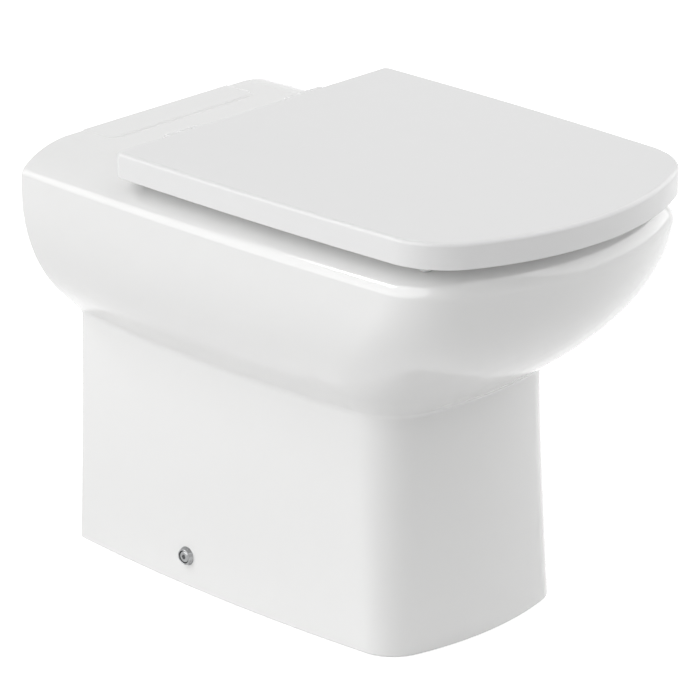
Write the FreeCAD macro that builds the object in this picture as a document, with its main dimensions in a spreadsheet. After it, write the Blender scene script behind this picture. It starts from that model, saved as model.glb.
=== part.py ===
import FreeCAD, Part
import math
import os
import re
import Sketcher
from FreeCAD import Placement, Rotation, Vector

# Back-to-wall floor-standing toilet. Millimetres, +Z up, front towards -Y, wall plane on +Y.
# The origin is on the floor, in the middle of the width and of the projection.

doc = FreeCAD.newDocument("floor_standing_toilet")

DRIVING_SIZES = {
    # Pan, upper body
    "pan_width": 355.0,
    "pan_projection": 550.0,
    "rim_height": 400.0,
    "widest_from_wall": 230.0,
    "pan_bow_radius": 4640.0,
    "pan_front_radius": 286.0,
    "pan_corner_radius": 69.0,
    "pan_corner_swell": 52.0,
    "shoulder_width": 56.0,
    "front_shoulder_width": 22.0,
    "shoulder_drop": 24.0,
    "flank_height": 16.0,
    "underside_radius": 155.0,
    "front_edge_drop": 7.0,
    # Pan, pedestal
    "crease_height": 226.0,
    "crease_width": 233.0,
    "crease_projection": 416.0,
    "crease_bow_radius": 1577.0,
    "crease_front_radius": 369.0,
    "crease_corner_radius": 49.0,
    "foot_width": 239.0,
    "foot_projection": 425.0,
    "foot_bow_radius": 2007.0,
    "foot_front_radius": 320.0,
    "foot_corner_radius": 41.0,
    # Pan, inside
    "china_wall": 10.0,
    "deck_thickness": 12.0,
    "deck_step_width": 190.0,
    "deck_step_depth": 40.0,
    "deck_step_height": 1.0,
    "deck_step_corner": 12.0,
    "bowl_rim_width": 53.5,
    "bowl_from_wall": 196.0,
    "bowl_edge": 7.0,
    "sump_from_wall": 333.0,
    "trap_bore_radius": 41.0,
    "trap_bend_radius": 58.0,
    "trap_height": 58.0,
    "trap_climb_angle": 50.0,
    "outlet_height": 185.0,
    "outlet_from_wall": 25.0,
    "inlet_height": 335.0,
    "inlet_from_wall": 70.0,
    "inlet_bore_radius": 27.5,
    # Seat and lid
    "lid_width": 351.0,
    "lid_projection": 555.0,
    "lid_from_wall": 128.0,
    "lid_front_radius": 278.0,
    "lid_corner_radius": 72.0,
    "lid_rear_corner": 6.0,
    "lid_wall": 4.0,
    "lid_edge_radius": 3.5,
    "lid_lift": 5.0,
    "seat_lift": 5.0,
    "seat_gap": 3.0,
    "seat_thickness": 15.0,
    "seat_edge_radius": 5.0,
    "seat_under_radius": 2.5,
    "seat_ring_width": 57.0,
    "seat_hole_width": 223.0,
    "seat_hole_from_wall": 204.0,
    "seat_hole_front_radius": 140.0,
    "seat_hole_corner": 75.0,
    "buffer_radius": 7.0,
    "buffer_inset": 20.0,
    # Hinges
    "hinge_spacing": 155.0,
    "hinge_setback": 11.0,
    "fold_clearance": 3.0,
    "eye_radius": 6.5,
    "pin_radius": 3.0,
    "bush_wall": 1.6,
    "post_width": 15.0,
    "knuckle_width": 14.0,
    "base_radius": 20.0,
    "base_thickness": 3.0,
    "base_edge_radius": 1.0,
    "pad_thickness": 1.0,
    "stud_radius": 4.0,
    "stud_grip": 8.0,
    "stud_tail": 8.0,
    "hinge_hole_radius": 8.0,
    "washer_radius": 14.0,
    "washer_thickness": 3.0,
    "nut_flats": 13.0,
    "nut_thickness": 7.0,
    # Floor fixing
    "fixing_from_wall": 155.0,
    "fixing_height": 30.0,
    "fixing_hole_radius": 6.0,
    "bracket_width": 40.0,
    "bracket_height": 45.0,
    "bracket_foot": 42.0,
    "bracket_thickness": 4.0,
    "bracket_gap": 2.0,
    "bracket_hole_radius": 4.5,
    "screw_radius": 3.0,
    "screw_head_radius": 5.5,
    "screw_head_height": 1.4,
    "screw_crown": 1.0,
    "screw_socket_radius": 2.5,
    "screw_socket_depth": 1.8,
    "screw_past_bracket": 8.0,
    "cup_radius": 9.0,
    "cup_depth": 4.0,
    "cup_wall": 1.2,
    "cup_taper": 1.5,
    # Flush inlet seal
    "seal_bore_radius": 22.5,
    "seal_flange_radius": 34.0,
    "seal_flange": 4.0,
    "seal_length": 30.0,
    # Fits
    "rest_gap": 0.4,
    "running_fit": 0.05,
    "fixed_fit": 0.01,
    "side_play": 0.5,
    "swing_clearance": 1.5,
}

WORKED_OUT_SIZES = {
    "wall_y": "=max(lid_projection; pan_projection) / 2",
    "seat_bottom": "=rim_height + seat_lift",
    "seat_top": "=seat_bottom + seat_thickness",
    "lid_ceiling": "=seat_top + lid_lift",
    "lid_top": "=lid_ceiling + lid_wall",
    "hinge_height": "=(rim_height + lid_top) / 2 + fold_clearance",
    "hinge_from_wall": "=lid_from_wall - hinge_setback",
    "hinge_y": "=wall_y - hinge_from_wall",
    "swing_radius": "=sqrt((hinge_setback + lid_wall)^2 + (hinge_height - seat_bottom)^2)",
    "seat_from_wall": "=hinge_from_wall + swing_radius + swing_clearance",
    "post_near": "=(hinge_spacing - post_width) / 2",
    "post_far": "=(hinge_spacing + post_width) / 2",
    "seat_knuckle_near": "=post_far + side_play",
    "lid_knuckle_near": "=post_near - side_play - knuckle_width",
    "pin_bore_radius": "=pin_radius + running_fit",
    "bush_radius": "=pin_bore_radius + bush_wall",
    "knuckle_bore_radius": "=bush_radius + fixed_fit",
    "stud_bore_radius": "=stud_radius + fixed_fit",
    "screw_bore_radius": "=screw_radius + fixed_fit",
    "arm_bottom": "=hinge_height - eye_radius",
    "eye_top": "=hinge_height + eye_radius",
    "post_front": "=hinge_y - eye_radius",
    "post_back": "=hinge_y + eye_radius",
    "seat_arm_root": "=wall_y - seat_from_wall - 2 * seat_edge_radius",
    "lid_arm_root": "=wall_y - lid_from_wall - lid_wall / 2",
    "notch_near": "=seat_knuckle_near - swing_clearance",
    "notch_far": "=seat_knuckle_near + knuckle_width + swing_clearance",
    "notch_inner": "=wall_y - lid_from_wall - lid_wall - swing_clearance",
    "notch_outer": "=wall_y - lid_from_wall + swing_clearance",
    "notch_bottom": "=seat_bottom - swing_clearance",
    "notch_top": "=seat_top + swing_clearance",
    "base_bottom": "=rim_height + pad_thickness",
    "base_top": "=base_bottom + base_thickness",
    "deck_underside": "=rim_height - deck_thickness",
    "washer_bottom": "=deck_underside - washer_thickness",
    "nut_bottom": "=washer_bottom - nut_thickness",
    "stud_bottom": "=nut_bottom - stud_tail",
    "trap_radius": "=trap_bore_radius + china_wall",
    "inlet_radius": "=inlet_bore_radius + china_wall",
    "fixing_y": "=wall_y - fixing_from_wall",
    "bracket_hole_at": "=(bracket_foot + bracket_thickness) / 2",
}

sizes = doc.addObject("Spreadsheet::Sheet", "sizes")
ALL_SIZES = {**DRIVING_SIZES, **WORKED_OUT_SIZES}


def enter(row, alias, content):
    sizes.set(f"A{row}", alias)
    sizes.set(f"B{row}", str(content))
    sizes.setAlias(f"B{row}", alias)


for row, (alias, content) in enumerate(ALL_SIZES.items(), start=1):
    enter(row, alias, content)
doc.recompute()

# Shape powers and shares, which have no unit
SHOULDER_POWER = 1.7
FLARE_POWER = 1.6
SHOULDER_CORNER_SHARE = 0.6
UNDERSIDE_SLOPE = math.radians(45)
UNDERSIDE_SHARE = 0.35
BUFFER_SHARE = 0.33
BOWL_FRONT_POWER = 1.2
BOWL_SIDE_POWER = 0.5
BOWL_REAR_POWER = 0.6
BOWL_SQUARENESS = 0.8
THROAT_SHARE = 1.12

# Counts of sections and points along the lofts
UNDERSIDE_STEPS = 6
SHOULDER_STEPS = 6
PEDESTAL_STEPS = 4
BOWL_STEPS = 5
OVAL_POINTS = 24

# How far a cutting solid runs past the face that it opens
OVERRUN = 5.0

SIDES = (("left", -1), ("right", 1))
OUTWARD = {side: Rotation(Vector(0, 1, 0), 90 * side) for name, side in SIDES}
ALONG_Y = Rotation(Vector(1, 0, 0), -90)
ALONG_Z = Rotation()

pieces = []


def size(alias):
    return float(sizes.get(alias))


def formula(text):
    """The text with each size's alias pointed at the sheet."""

    def point(word):
        return "sizes." + word[0] if word[0] in ALL_SIZES else word[0]

    return re.sub(r"[a-z_]+", point, text)


def bind(item, **properties):
    for name, text in properties.items():
        item.setExpression(name.replace("__", "."), formula(str(text)))


def keep(item, label):
    item.Label = label
    pieces.append(item)
    return item


def mix(start, end, share):
    return start + (end - start) * share


# Outlines in plan


def circle_through(centre, radius, towards):
    """The point where the line from a circle's centre towards another point leaves the circle."""
    direction = towards - centre
    return centre + direction * (radius / direction.Length)


def corner_centre(side, side_reach, front, front_reach):
    """The forward crossing of two circles, where a corner arc that touches both has its centre."""
    between = front - side
    span = between.Length
    along = (side_reach**2 - front_reach**2 + span**2) / (2 * span)
    off = math.sqrt(side_reach**2 - along**2)
    across = Vector(-between.y, between.x, 0) * (off / span)
    foot = side + between * (along / span)
    return max(foot + across, foot - across, key=lambda point: point.y)


def outline(half_width, bow_radius, front, front_radius, corner_radius, rear, rear_corner=0.0):
    """Straight rear, bowed sides, rounded corners and a curved front, in x and distance from the wall."""
    widest = size("widest_from_wall")
    side = Vector(bow_radius - half_width, widest, 0)
    nose = Vector(0, front - front_radius, 0)
    corner = corner_centre(side, bow_radius - corner_radius, nose, front_radius - corner_radius)
    leave_side = circle_through(side, bow_radius, corner)
    leave_corner = circle_through(nose, front_radius, corner)
    turn = circle_through(corner, corner_radius, (leave_side + leave_corner) * 0.5)

    def on_side(distance):
        return Vector(side.x - math.sqrt(bow_radius**2 - (distance - widest)**2), distance, 0)

    left = []
    start = on_side(rear)
    rear_point = start
    if rear_corner > 0:
        reach = bow_radius - rear_corner
        height = rear + rear_corner
        heel = Vector(side.x - math.sqrt(reach**2 - (height - widest)**2), height, 0)
        rear_point = Vector(heel.x, rear, 0)
        start = circle_through(side, bow_radius, heel)
        middle = circle_through(heel, rear_corner, (rear_point + start) * 0.5)
        left.append((rear_point, middle, start))
    left.append((start, on_side((start.y + leave_side.y) / 2), leave_side))
    left.append((leave_side, turn, leave_corner))

    def across(point):
        return Vector(-point.x, point.y, 0)

    nose_arc = (leave_corner, Vector(0, front, 0), across(leave_corner))
    right = [(across(end), across(middle), across(begin)) for begin, middle, end in reversed(left)]
    return (across(rear_point), rear_point), left + [nose_arc] + right


def outline_curves(line_and_arcs, z=0.0):
    line, arcs = line_and_arcs
    wall = size("wall_y")

    def place(point):
        return Vector(point.x, wall - point.y, z)

    curves = [Part.LineSegment(*map(place, line))]
    return curves + [Part.Arc(*map(place, arc)) for arc in arcs]


def outline_wire(line_and_arcs, z):
    return Part.Wire([curve.toShape() for curve in outline_curves(line_and_arcs, z)])


def oval_wire(half_width, rear, front, power, z):
    """A closed curve between an ellipse, at power 2, and a rounded box, at higher powers."""
    centre = (rear + front) / 2
    points = []
    for step in range(OVAL_POINTS):
        turn = 2 * math.pi * step / OVAL_POINTS
        across = math.copysign(abs(math.cos(turn)) ** (2 / power), math.cos(turn))
        along = math.copysign(abs(math.sin(turn)) ** (2 / power), math.sin(turn))
        distance = centre + (front - rear) / 2 * along
        points.append(Vector(half_width * across, size("wall_y") - distance, z))
    curve = Part.BSplineCurve()
    curve.interpolate(points, PeriodicFlag=True)
    return Part.Wire(curve.toShape())


def loft(wires):
    return Part.makeLoft(wires, True, False)


# Pan


def underside_top():
    return size("rim_height") - size("shoulder_drop") - size("flank_height")


def underside_run(z):
    """How far the side has curved in at a height, and how much wider a level cut through its wall is."""
    radius = size("underside_radius")
    drop = max(underside_top() - z, 0.0)
    knee = radius * math.sin(UNDERSIDE_SLOPE)
    if drop > knee:
        run = radius * (1 - math.cos(UNDERSIDE_SLOPE)) + (drop - knee) * math.tan(UNDERSIDE_SLOPE)
        return run, 1 / math.cos(UNDERSIDE_SLOPE)
    rise = math.sqrt(radius**2 - drop**2)
    return radius - rise, radius / rise


def front_run(z):
    """The share of the front's curve at a height, and how much wider a level cut through its wall is."""
    top = size("rim_height") - size("front_edge_drop")
    depth = top - size("crease_height")
    share = max(top - z, 0.0) / depth
    slope = 2 * share * (size("pan_projection") - size("crease_projection")) / depth
    return share**2, math.hypot(1, slope)


def upper_section(z, inset=0.0, wall=0.0, rear=0.0):
    """Outline of the upper body at a height, drawn in by the shoulder's inset and by a wall."""
    run, side_cut = underside_run(z)
    side = run / underside_run(size("crease_height"))[0]
    front, front_cut = front_run(z)
    narrow = inset + wall * side_cut
    short = inset * size("front_shoulder_width") / size("shoulder_width") + wall * front_cut
    bow = 1 / mix(1 / size("pan_bow_radius"), 1 / size("crease_bow_radius"), side)
    corner = mix(size("pan_corner_radius"), size("crease_corner_radius"), (side + front) / 2)
    corner += size("pan_corner_swell") * 4 * front * (1 - front)
    corner *= 1 - SHOULDER_CORNER_SHARE * inset / size("shoulder_width")
    return outline(
        half_width=mix(size("pan_width"), size("crease_width"), side) / 2 - narrow,
        bow_radius=bow - narrow,
        front=mix(size("pan_projection"), size("crease_projection"), front) - short,
        front_radius=mix(size("pan_front_radius"), size("crease_front_radius"), front) - short,
        corner_radius=corner - wall,
        rear=rear,
    )


def pedestal_section(z, wall=0.0, rear=0.0):
    share = (1 - z / size("crease_height")) ** FLARE_POWER

    def flared(name):
        return mix(size("crease_" + name), size("foot_" + name), share)

    return outline(
        half_width=flared("width") / 2 - wall,
        bow_radius=flared("bow_radius") - wall,
        front=flared("projection") - wall,
        front_radius=flared("front_radius") - wall,
        corner_radius=flared("corner_radius") - wall,
        rear=rear,
    )


def pedestal_half_width(from_wall, z):
    """Half the pedestal's outside width at a distance from the wall and a height."""
    share = (1 - z / size("crease_height")) ** FLARE_POWER
    bow = mix(size("crease_bow_radius"), size("foot_bow_radius"), share)
    half = mix(size("crease_width"), size("foot_width"), share) / 2
    return half - bow + math.sqrt(bow**2 - (from_wall - size("widest_from_wall"))**2)


def flank_levels():
    """Heights up the upper body, from the crease to the foot of the shoulder."""
    shares = [step / UNDERSIDE_STEPS for step in range(UNDERSIDE_STEPS + 1)]
    curve = [mix(size("crease_height"), underside_top(), share) for share in shares]
    return curve + [size("rim_height") - size("shoulder_drop")]


def shoulder_levels():
    """Heights over the shoulder, with its inset and its share of the deck."""
    levels = []
    for step in range(SHOULDER_STEPS + 1):
        turn = math.pi / 2 * step / SHOULDER_STEPS
        outward = math.cos(turn) ** (2 / SHOULDER_POWER)
        upward = math.sin(turn) ** (2 / SHOULDER_POWER)
        z = size("rim_height") - size("shoulder_drop") * (1 - upward)
        levels.append((z, size("shoulder_width") * (1 - outward), upward))
    return levels


def pan_outside():
    """The pan with nothing hollowed out. Its sections run past the wall plane, which trims them."""
    past = -OVERRUN
    flank = loft([outline_wire(upper_section(z, rear=past), z) for z in flank_levels()])
    sections = [(z, upper_section(z, inset, rear=past)) for z, inset, deck in shoulder_levels()]
    shoulder = loft([outline_wire(section, z) for z, section in sections])
    heights = [size("crease_height") * step / PEDESTAL_STEPS for step in range(PEDESTAL_STEPS + 1)]
    pedestal = loft([outline_wire(pedestal_section(z, rear=past), z) for z in heights])
    front_face = size("wall_y") - size("deck_step_depth")
    step = Part.makeBox(
        size("deck_step_width"),
        size("deck_step_depth") + OVERRUN,
        size("deck_step_height") + OVERRUN,
        Vector(-size("deck_step_width") / 2, front_face, size("rim_height") - OVERRUN),
    )
    corners = [edge for edge in step.Edges if is_upright(edge) and edge.CenterOfMass.y < front_face + 1]
    step = step.makeFillet(size("deck_step_corner"), corners)
    whole = flank.fuse([shoulder, pedestal, step]).removeSplitter()
    return whole.cut(block_from(Vector(-size("pan_width"), size("wall_y"), -OVERRUN)))


def block_from(corner):
    """A block larger than the pan that reaches right, back and up from its corner."""
    return Part.makeBox(2 * size("pan_width"), 2 * size("pan_projection"), 2 * size("rim_height"), corner)


def block_above(z):
    return block_from(Vector(-size("pan_width"), -size("pan_projection"), z))


def is_upright(edge):
    return abs(edge.tangentAt(edge.FirstParameter).z) > 0.99


def pan_hollow():
    """The space inside the casting's walls, open at the wall and at the floor."""
    wall = size("china_wall")
    deck = size("deck_thickness")
    crease = size("crease_height")
    flank = loft([outline_wire(upper_section(z, 0.0, wall, -OVERRUN), z) for z in flank_levels()])
    sections = []
    for z, inset, deck_share in shoulder_levels():
        section = upper_section(z, inset, wall, -OVERRUN)
        sections.append(outline_wire(section, z - deck * deck_share))
    shoulder = loft(sections)
    sections = []
    for step in range(PEDESTAL_STEPS + 1):
        share = step / PEDESTAL_STEPS
        section = pedestal_section(crease * share, wall, -OVERRUN)
        sections.append(outline_wire(section, mix(-OVERRUN, crease + wall, share)))
    return flank.fuse([shoulder, loft(sections)])


def bowl(wall):
    """The bowl from its rim to the throat of the trap, or its jacket when given a wall."""
    throat_z = size("trap_height") + size("trap_bend_radius") - wall
    throat = (size("trap_bore_radius") + wall) * THROAT_SHARE
    rim = size("rim_height")
    sump = size("sump_from_wall")
    rim_width = size("bowl_rim_width") - wall
    sections = []
    for step in range(BOWL_STEPS + 1):
        rise = step / BOWL_STEPS
        z = mix(throat_z, rim - size("bowl_edge"), rise)
        run = underside_run(z)[0] / underside_run(size("crease_height"))[0]
        outer_half = mix(size("pan_width"), size("crease_width"), min(run, 1.0)) / 2
        outer_front = mix(size("pan_projection"), size("crease_projection"), min(front_run(z)[0], 1.0))
        half = mix(throat, outer_half - rim_width, rise**BOWL_SIDE_POWER)
        front = mix(sump + throat, outer_front - rim_width, rise**BOWL_FRONT_POWER)
        rear = mix(sump - throat, size("bowl_from_wall") - wall, rise**BOWL_REAR_POWER)
        sections.append(oval_wire(half, rear, front, 2 + BOWL_SQUARENESS * rise, z))
    return loft(sections)


def bowl_mouth():
    """The rounded edge of the bowl's opening, as the solid that cuts it."""
    edge = size("bowl_edge")
    rim = size("rim_height")
    rim_width = size("bowl_rim_width")
    half = size("pan_width") / 2 - rim_width
    front = size("pan_projection") - rim_width
    rear = size("bowl_from_wall")
    sections = []
    for turn in (0, 30, 60, 90):
        out = edge * (1 - math.cos(math.radians(turn)))
        z = rim - edge + edge * math.sin(math.radians(turn))
        sections.append(oval_wire(half + out, rear - out, front + out, 2 + BOWL_SQUARENESS, z))
    sections.append(oval_wire(half + edge, rear - edge, front + edge, 2 + BOWL_SQUARENESS, rim + OVERRUN))
    return loft(sections)


def trap_path(end_from_wall):
    """Down from the bowl, back under the dip, up the climb and out level to the wall."""
    wall = size("wall_y")
    bend = size("trap_bend_radius")
    low = size("trap_height")
    high = size("outlet_height")
    climb = math.radians(size("trap_climb_angle"))

    def at(from_wall, z):
        return Vector(0, wall - from_wall, z)

    def on_bend(centre, angle):
        return at(centre[0] + bend * math.cos(angle), centre[1] + bend * math.sin(angle))

    down = size("sump_from_wall")
    dip = (down - bend, low + bend)
    climb_run = (high - low - 2 * bend * (1 - math.cos(climb))) / math.tan(climb)
    weir = (dip[0] - 2 * bend * math.sin(climb) - climb_run, high - bend)
    quarter = math.pi / 2
    start = at(down, low + 2 * bend)
    drop_end = on_bend(dip, 0)
    climb_start = on_bend(dip, -quarter - climb)
    climb_end = on_bend(weir, quarter - climb)
    level = on_bend(weir, quarter)
    edges = [
        Part.LineSegment(start, drop_end),
        Part.Arc(drop_end, on_bend(dip, (-quarter - climb) / 2), climb_start),
        Part.LineSegment(climb_start, climb_end),
        Part.Arc(climb_end, on_bend(weir, quarter - climb / 2), level),
        Part.LineSegment(level, at(end_from_wall, high)),
    ]
    return Part.Wire([edge.toShape() for edge in edges])


def trap(radius, end_from_wall):
    path = trap_path(end_from_wall)
    start = path.OrderedVertexes[0].Point
    ring = Part.Wire(Part.makeCircle(radius, start, Vector(0, 0, -1)))
    return path.makePipeShell([ring], True, False)


def hole_along_x(radius, from_wall, z, reach):
    start = Vector(-reach, size("wall_y") - from_wall, z)
    return Part.makeCylinder(radius, 2 * reach, start, Vector(1, 0, 0))


def flush_way(radius, length):
    """A round bar from the mouth of the flush inlet towards the bowl."""
    mouth = Vector(0, size("wall_y") - size("inlet_from_wall"), size("inlet_height"))
    return Part.makeCylinder(radius, length, mouth, Vector(0, -1, 0))


def fixing_holes():
    """Holes for the side screws and the hinge studs, with a flat seat for each hinge washer."""
    fixing = (size("fixing_from_wall"), size("fixing_height"))
    holes = [hole_along_x(size("fixing_hole_radius"), *fixing, size("pan_width"))]
    under_deck = size("deck_underside") - size("stud_bottom")
    for name, side in SIDES:
        foot = Vector(side * size("hinge_spacing") / 2, size("hinge_y"), size("stud_bottom"))
        through = under_deck + size("deck_thickness") + OVERRUN
        holes.append(Part.makeCylinder(size("hinge_hole_radius"), through, foot))
        seat_radius = size("washer_radius") + size("swing_clearance")
        holes.append(Part.makeCylinder(seat_radius, under_deck, foot))
    return holes


def only_solid(shape):
    if len(shape.Solids) != 1:
        raise RuntimeError(f"{len(shape.Solids)} solids where one was meant")
    return shape.Solids[0]


outside_shape = pan_outside()
outside = doc.addObject("Part::Feature", "outside_of_pan")
outside.Shape = outside_shape

bowl_inside = bowl(0.0)
bowl_jacket = bowl(size("china_wall"))
waterway = trap(size("trap_bore_radius"), -OVERRUN)
horn_length = size("bowl_from_wall") - size("inlet_from_wall")
jet = flush_way(size("inlet_bore_radius"), horn_length + 4 * size("china_wall"))
hollow = pan_hollow()
casing = outside_shape.cut(hollow).cut([bowl_inside, bowl_mouth(), *fixing_holes()])
above_crease = block_above(size("crease_height"))
above_underside = block_above(mix(size("crease_height"), underside_top(), UNDERSIDE_SHARE))

# The casting, in the six parts that its walls make
casting = {
    "pan_casing": casing.common(above_underside),
    "pan_underside": casing.common(above_crease).cut(above_underside),
    "pedestal": casing.cut(above_crease),
    "bowl": bowl_jacket.common(hollow).cut([bowl_inside, waterway, jet]),
    "trapway": trap(size("trap_radius"), size("outlet_from_wall")).cut([bowl_jacket, waterway]),
    "flush_horn": flush_way(size("inlet_radius"), horn_length).cut([bowl_jacket, jet]),
}
for label, shape in casting.items():
    item = keep(doc.addObject("Part::Feature", label), label)
    item.Shape = only_solid(shape)


# Sizes that the pan's own surfaces fix


def note(alias, value):
    row = len(ALL_SIZES) + 1
    ALL_SIZES[alias] = value
    enter(row, alias, value)


def pedestal_corners(reach_along, low, high):
    """Half widths of the pedestal at the corners of a patch round the side fixing."""
    widths = []
    for along in (-reach_along, reach_along):
        for z in (low, high):
            widths.append(pedestal_half_width(size("fixing_from_wall") + along, z))
    return widths


cup = size("cup_radius")
note("cup_face", max(pedestal_corners(cup, size("fixing_height") - cup, size("fixing_height") + cup)))
narrowest = min(pedestal_corners(size("bracket_width") / 2, 0.0, size("bracket_height")))
note("bracket_face", narrowest - size("china_wall") - size("bracket_gap"))
note("screw_tip", "=bracket_face - bracket_thickness - screw_past_bracket")
doc.recompute()


# Sketches and solids that follow the sheet


def new_body(label):
    return keep(doc.addObject("PartDesign::Body", label), label)


def sketch_on(body, role, offset="0"):
    sketch = body.newObject("Sketcher::SketchObject", body.Name + "_sketch")
    plane = next(item for item in body.Origin.OriginFeatures if item.Role == role)
    sketch.AttachmentSupport = (plane, [""])
    sketch.MapMode = "FlatFace"
    bind(sketch, AttachmentOffset__Base__z=offset)
    return sketch


def hold(sketch, name, alias, kind, *where):
    index = sketch.addConstraint(Sketcher.Constraint(kind, *where, size(alias)))
    sketch.renameConstraint(index, name)
    sketch.setExpression("Constraints." + name, formula(alias))


def circle_sketch(body, role, radius, across=None, up=None, offset="0"):
    """A circle on a plane. A place that is left out is on that axis of the sketch."""
    sketch = sketch_on(body, role, offset)
    centre = Vector(size(across) if across else 0, size(up) if up else 0, 0)
    sketch.addGeometry(Part.Circle(centre, Vector(0, 0, 1), size(radius)), False)
    hold(sketch, "radius", radius, "Radius", 0)
    if across:
        hold(sketch, "across", across, "DistanceX", -1, 1, 0, 3)
    else:
        sketch.addConstraint(Sketcher.Constraint("PointOnObject", 0, 3, -2))
    if up:
        hold(sketch, "up", up, "DistanceY", -1, 1, 0, 3)
    else:
        sketch.addConstraint(Sketcher.Constraint("PointOnObject", 0, 3, -1))
    return sketch


def polygon_sketch(body, role, corners, offset="0"):
    """A closed shape with level and upright sides in turn, the first one level."""
    sketch = sketch_on(body, role, offset)
    count = len(corners)
    for index in range(count):
        ends = [Vector(*corners[turn % count], 0) for turn in (index, index + 1)]
        sketch.addGeometry(Part.LineSegment(*ends), False)
    for index in range(count):
        sketch.addConstraint(Sketcher.Constraint("Coincident", index, 2, (index + 1) % count, 1))
        sketch.addConstraint(Sketcher.Constraint("Vertical" if index % 2 else "Horizontal", index))
    return sketch


def rectangle_sketch(body, role, left, right, bottom, top, offset="0"):
    spans = [(left, bottom), (right, bottom), (right, top), (left, top)]
    corners = [(size(across), size(up)) for across, up in spans]
    sketch = polygon_sketch(body, role, corners, offset)
    hold(sketch, "left", left, "DistanceX", -1, 1, 0, 1)
    hold(sketch, "bottom", bottom, "DistanceY", -1, 1, 0, 1)
    hold(sketch, "right", right, "DistanceX", -1, 1, 1, 2)
    hold(sketch, "top", top, "DistanceY", -1, 1, 1, 2)
    return sketch


def outline_sketch(body, line_and_arcs, offset):
    sketch = sketch_on(body, "XY_Plane", offset)
    for curve in outline_curves(line_and_arcs):
        sketch.addGeometry(curve, False)
    return sketch


def pad(body, sketch, length, both_ways=False):
    feature = body.newObject("PartDesign::Pad", body.Name + "_pad")
    feature.Profile = sketch
    feature.SideType = "Symmetric" if both_ways else "One side"
    bind(feature, Length=length)
    doc.recompute()
    return feature


def pocket(body, sketch, length=None, upward=False):
    """A cut of a set depth, or right through when no depth is given."""
    before = body.Shape.Volume
    feature = body.newObject("PartDesign::Pocket", body.Name + "_pocket")
    feature.Profile = sketch
    feature.Reversed = upward
    if length is None:
        feature.Type = "ThroughAll"
        feature.SideType = "Symmetric"
    else:
        bind(feature, Length=length)
    doc.recompute()
    if feature.Shape.Volume > before - 1.0:
        raise RuntimeError(f"A cut in {body.Label} takes nothing away")
    return feature


def round_level_edges(body, z, radius):
    """Rounds every edge of the body that lies level at a height."""
    tip = body.Tip
    names = []
    for index, edge in enumerate(tip.Shape.Edges, start=1):
        box = edge.BoundBox
        if abs(box.ZMin - z) < 0.01 and abs(box.ZMax - z) < 0.01:
            names.append(f"Edge{index}")
    feature = body.newObject("PartDesign::Fillet", body.Name + "_fillet")
    feature.Base = (tip, names)
    bind(feature, Radius=radius)
    doc.recompute()


def cylinder(radius, height, x, y, z, turn=ALONG_Z):
    item = doc.addObject("Part::Cylinder", "cylinder")
    item.Placement = Placement(Vector(), turn)
    bind(item, Radius=radius, Height=height)
    bind(item, Placement__Base__x=x, Placement__Base__y=y, Placement__Base__z=z)
    return item


def combine(kind, first, *others):
    result = first
    for other in others:
        step = doc.addObject(kind, kind.split("::")[1].lower())
        step.Base = result
        step.Tool = other
        result = step
    return result


def tube(outer, inner, height, x, y, z, turn=ALONG_Z):
    return combine(
        "Part::Cut",
        cylinder(outer, height, x, y, z, turn),
        cylinder(inner, height, x, y, z, turn),
    )


# Seat ring


def seat_outline():
    inset = size("lid_wall") + size("seat_gap")
    return outline(
        half_width=size("lid_width") / 2 - inset,
        bow_radius=size("pan_bow_radius") - inset,
        front=size("lid_projection") - inset,
        front_radius=size("lid_front_radius") - inset,
        corner_radius=size("lid_corner_radius") - inset,
        rear=size("seat_from_wall"),
        rear_corner=size("lid_rear_corner"),
    )


def seat_hole_outline():
    return outline(
        half_width=size("seat_hole_width") / 2,
        bow_radius=size("pan_bow_radius"),
        front=size("lid_projection") - size("lid_wall") - size("seat_gap") - size("seat_ring_width"),
        front_radius=size("seat_hole_front_radius"),
        corner_radius=size("seat_hole_corner"),
        rear=size("seat_hole_from_wall"),
        rear_corner=size("seat_hole_corner"),
    )


def add_knuckles(body, near, root, top):
    """A pair of eyes on the hinge line, each with the arm that ties it to the body."""
    for name, side in SIDES:
        start = near if side > 0 else f"-({near} + knuckle_width)"
        arm = rectangle_sketch(body, "YZ_Plane", root, "hinge_y", "arm_bottom", top, start)
        pad(body, arm, "knuckle_width")
        eye = circle_sketch(body, "YZ_Plane", "eye_radius", "hinge_y", "hinge_height", start)
        pad(body, eye, "knuckle_width")
    pocket(body, circle_sketch(body, "YZ_Plane", "knuckle_bore_radius", "hinge_y", "hinge_height"))


seat = new_body("seat_ring")
pad(seat, outline_sketch(seat, seat_outline(), "seat_bottom"), "seat_thickness")
pocket(seat, outline_sketch(seat, seat_hole_outline(), "seat_top"), "seat_thickness + seat_lift")
round_level_edges(seat, size("seat_top"), "seat_edge_radius")
round_level_edges(seat, size("seat_bottom"), "seat_under_radius")
add_knuckles(seat, "seat_knuckle_near", "seat_arm_root", "seat_top")


# Lid


def lid_outline(inset=0.0):
    return outline(
        half_width=size("lid_width") / 2 - inset,
        bow_radius=size("pan_bow_radius") - inset,
        front=size("lid_projection") - inset,
        front_radius=size("lid_front_radius") - inset,
        corner_radius=size("lid_corner_radius") - inset,
        rear=size("lid_from_wall") + inset,
        rear_corner=size("lid_rear_corner") - min(inset, size("lid_rear_corner") / 2),
    )


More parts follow.
